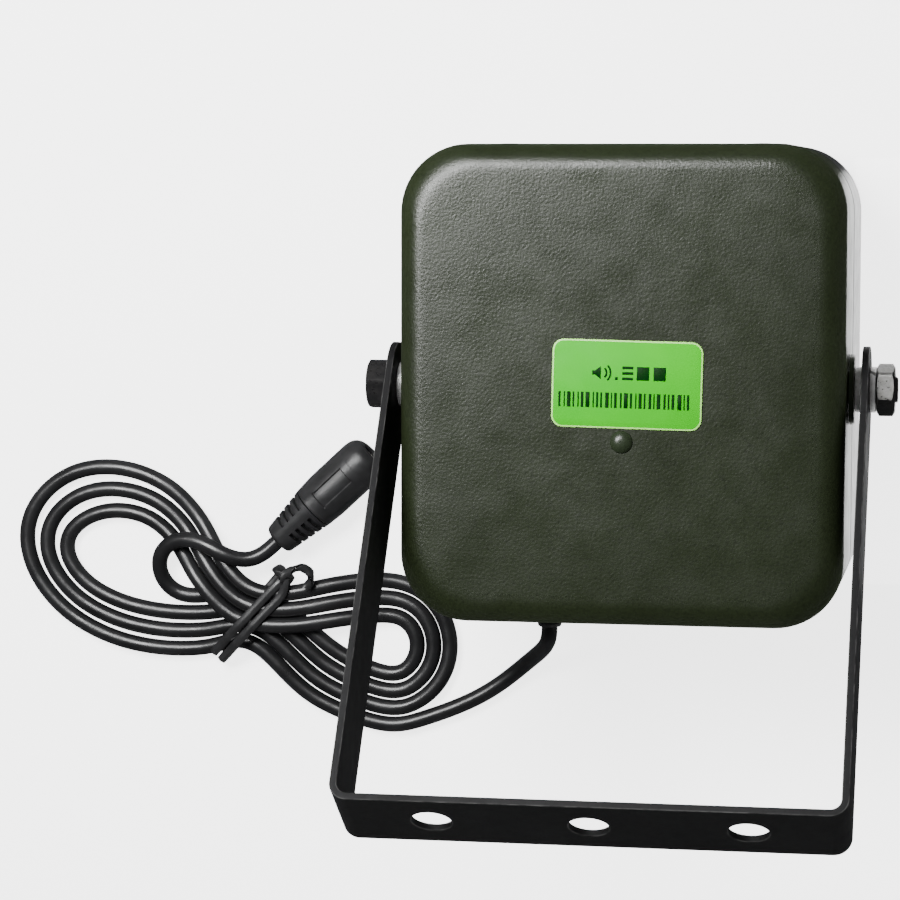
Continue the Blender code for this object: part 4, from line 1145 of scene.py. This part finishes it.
def make_yoke():
    """The strap bent into a yoke: cut across where it will bend, then each point moved."""
    bm = flat_strap()
    bends = [BASE_HALF + BEND_LENGTH * i / 14 for i in range(15)]
    arms = [BASE_HALF + BEND_LENGTH + ARM * i / 8 for i in range(1, 8)]
    for place in [sign * cut_at for part in (bends, arms) for sign in (-1, 1) for cut_at in part]:
        bmesh.ops.bisect_plane(bm, geom=[*bm.verts, *bm.edges, *bm.faces],
                               plane_co=(place, 0, 0), plane_no=(1, 0, 0))
    for vert in bm.verts:
        x, across, out = vert.co
        sign = 1 if x > 0 else -1
        run = abs(x) - BASE_HALF
        if run <= 0:
            vert.co = (x, -BEND - ARM - out, across)
        elif run <= BEND_LENGTH:
            turn = run / BEND
            vert.co = (sign * (BASE_HALF + (BEND + out) * sin(turn)),
                       -ARM - (BEND + out) * cos(turn), across)
        else:
            vert.co = (sign * (BASE_HALF + BEND + out), run - BEND_LENGTH - ARM, across)
    centre = Vector((HEAD.x, PIVOT.y, PIVOT.z))
    matrix = Matrix.Translation(centre) @ Matrix.Rotation(-YOKE_TILT, 4, "X")
    mesh = finish_mesh(bm, 40, matrix)
    strap = add_piece("yoke_strap", mesh, "black", "black_paint", "yoke", body="yoke")
    normals = strap.modifiers.new("flat faces", "WEIGHTED_NORMAL")
    normals.keep_sharp = True


make_cover()
make_gasket()
make_screws()
make_bell()
make_reflector()
make_posts()
make_inner_horn()
make_rivet()
make_label()
make_pivots()
make_yoke()


# ---- Carried-over pieces ----

# Surfaces and the CAD nodes that take them
INSIDE = {
    "aluminium": ("driver_housing",),
    "zinc": ("top_plate", "pole_piece", "driver_bolt_1", "driver_bolt_2", "driver_bolt_3",
             "driver_bolt_4", "driver_screw_1", "driver_screw_2", "driver_screw_3"),
    "phenolic": ("phase_plug", "diaphragm", "terminal_strip"),
    "copper": ("voice_coil",),
    "ferrite": ("magnet",),
    "plastic": ("surround_ring", "cable_clip"),
    "nickel": ("terminal_lug_positive", "terminal_lug_negative"),
    "red": ("wire_positive",),
    "cord": ("wire_negative",),
    "foam": ("foam_pad",),
}


def paint_inside():
    """Materials for the pieces inside the head, whose CAD shape is kept."""
    for paint, nodes in INSIDE.items():
        for node in nodes:
            mesh = frame["nodes"][node].data
            mesh.materials.clear()
            mesh.materials.append(SURFACES[paint].material)


paint_inside()


# ---- Stage ----

def white_sheet(name, paint, centre, half, height):
    """A flat rectangle of the studio, centred on a point of the floor."""
    x, y = centre
    corners = [(x + sx * half[0], y + sy * half[1], height)
               for sx, sy in ((-1, -1), (1, -1), (1, 1), (-1, 1))]
    mesh = bpy.data.meshes.new(name)
    mesh.from_pydata(corners, [], [(0, 1, 2, 3)])
    mesh.materials.append(paint.material)
    sheet = new_object(name, mesh)
    return sheet


def make_floor():
    """The pale floor, and a card that shows only as a reflection in the head's side wall."""
    paper = Surface("pale_floor", (0.86, 0.86, 0.855), 0.55)
    paper.set("Emission Color", (1, 1, 1, 1))
    paper.set("Emission Strength", 3.2)
    paper.mottle(60, 3, 0.3, (0.8, 0.8, 0.795))
    floor = white_sheet("floor", paper, (0, 0), (3, 3), -0.3 * MM)
    floor.visible_glossy = False
    beside = (HEAD.x + HALF_WIDTH + 12 * MM, HEAD.y)
    card = white_sheet("side_card", paper, beside, (14 * MM, 0.95 * HALF_HEIGHT), -0.2 * MM)
    card.visible_camera = False
    card.visible_diffuse = False
    card.visible_shadow = False


def area_light(name, place, size, power, glossy=False):
    """A softbox that looks at the head; only glossy ones show as reflections."""
    light = bpy.data.lights.new(name, "AREA")
    light.shape = "RECTANGLE"
    light.size, light.size_y = size
    light.energy = power
    lamp = new_object(name, light)
    lamp.location = HEAD + Vector(place)
    target = HEAD + Vector((0, 0, BACK_Z / 2))
    lamp.rotation_euler = (target - lamp.location).to_track_quat("-Z", "Y").to_euler()
    lamp.visible_glossy = glossy


def make_lights():
    """A small key that the paint reflects, and wide fills that it doesn't."""
    area_light("key", (-0.25, 0.24, 0.6), (0.4, 0.2), 9, glossy=True)
    area_light("overhead", (0.1, 0.1, 1.9), (1.8, 1.8), 7)
    area_light("front", (-0.3, -1.3, 0.9), (1.4, 0.9), 3)
    area_light("right", (1.4, 0.2, 0.8), (1.2, 0.9), 3)
    world = bpy.data.worlds.new("studio")
    world.use_nodes = True
    background = world.node_tree.nodes["Background"]
    background.inputs["Color"].default_value = (0.95, 0.97, 1.0, 1)
    background.inputs["Strength"].default_value = 0.05
    bpy.context.scene.world = world


make_floor()
make_lights()
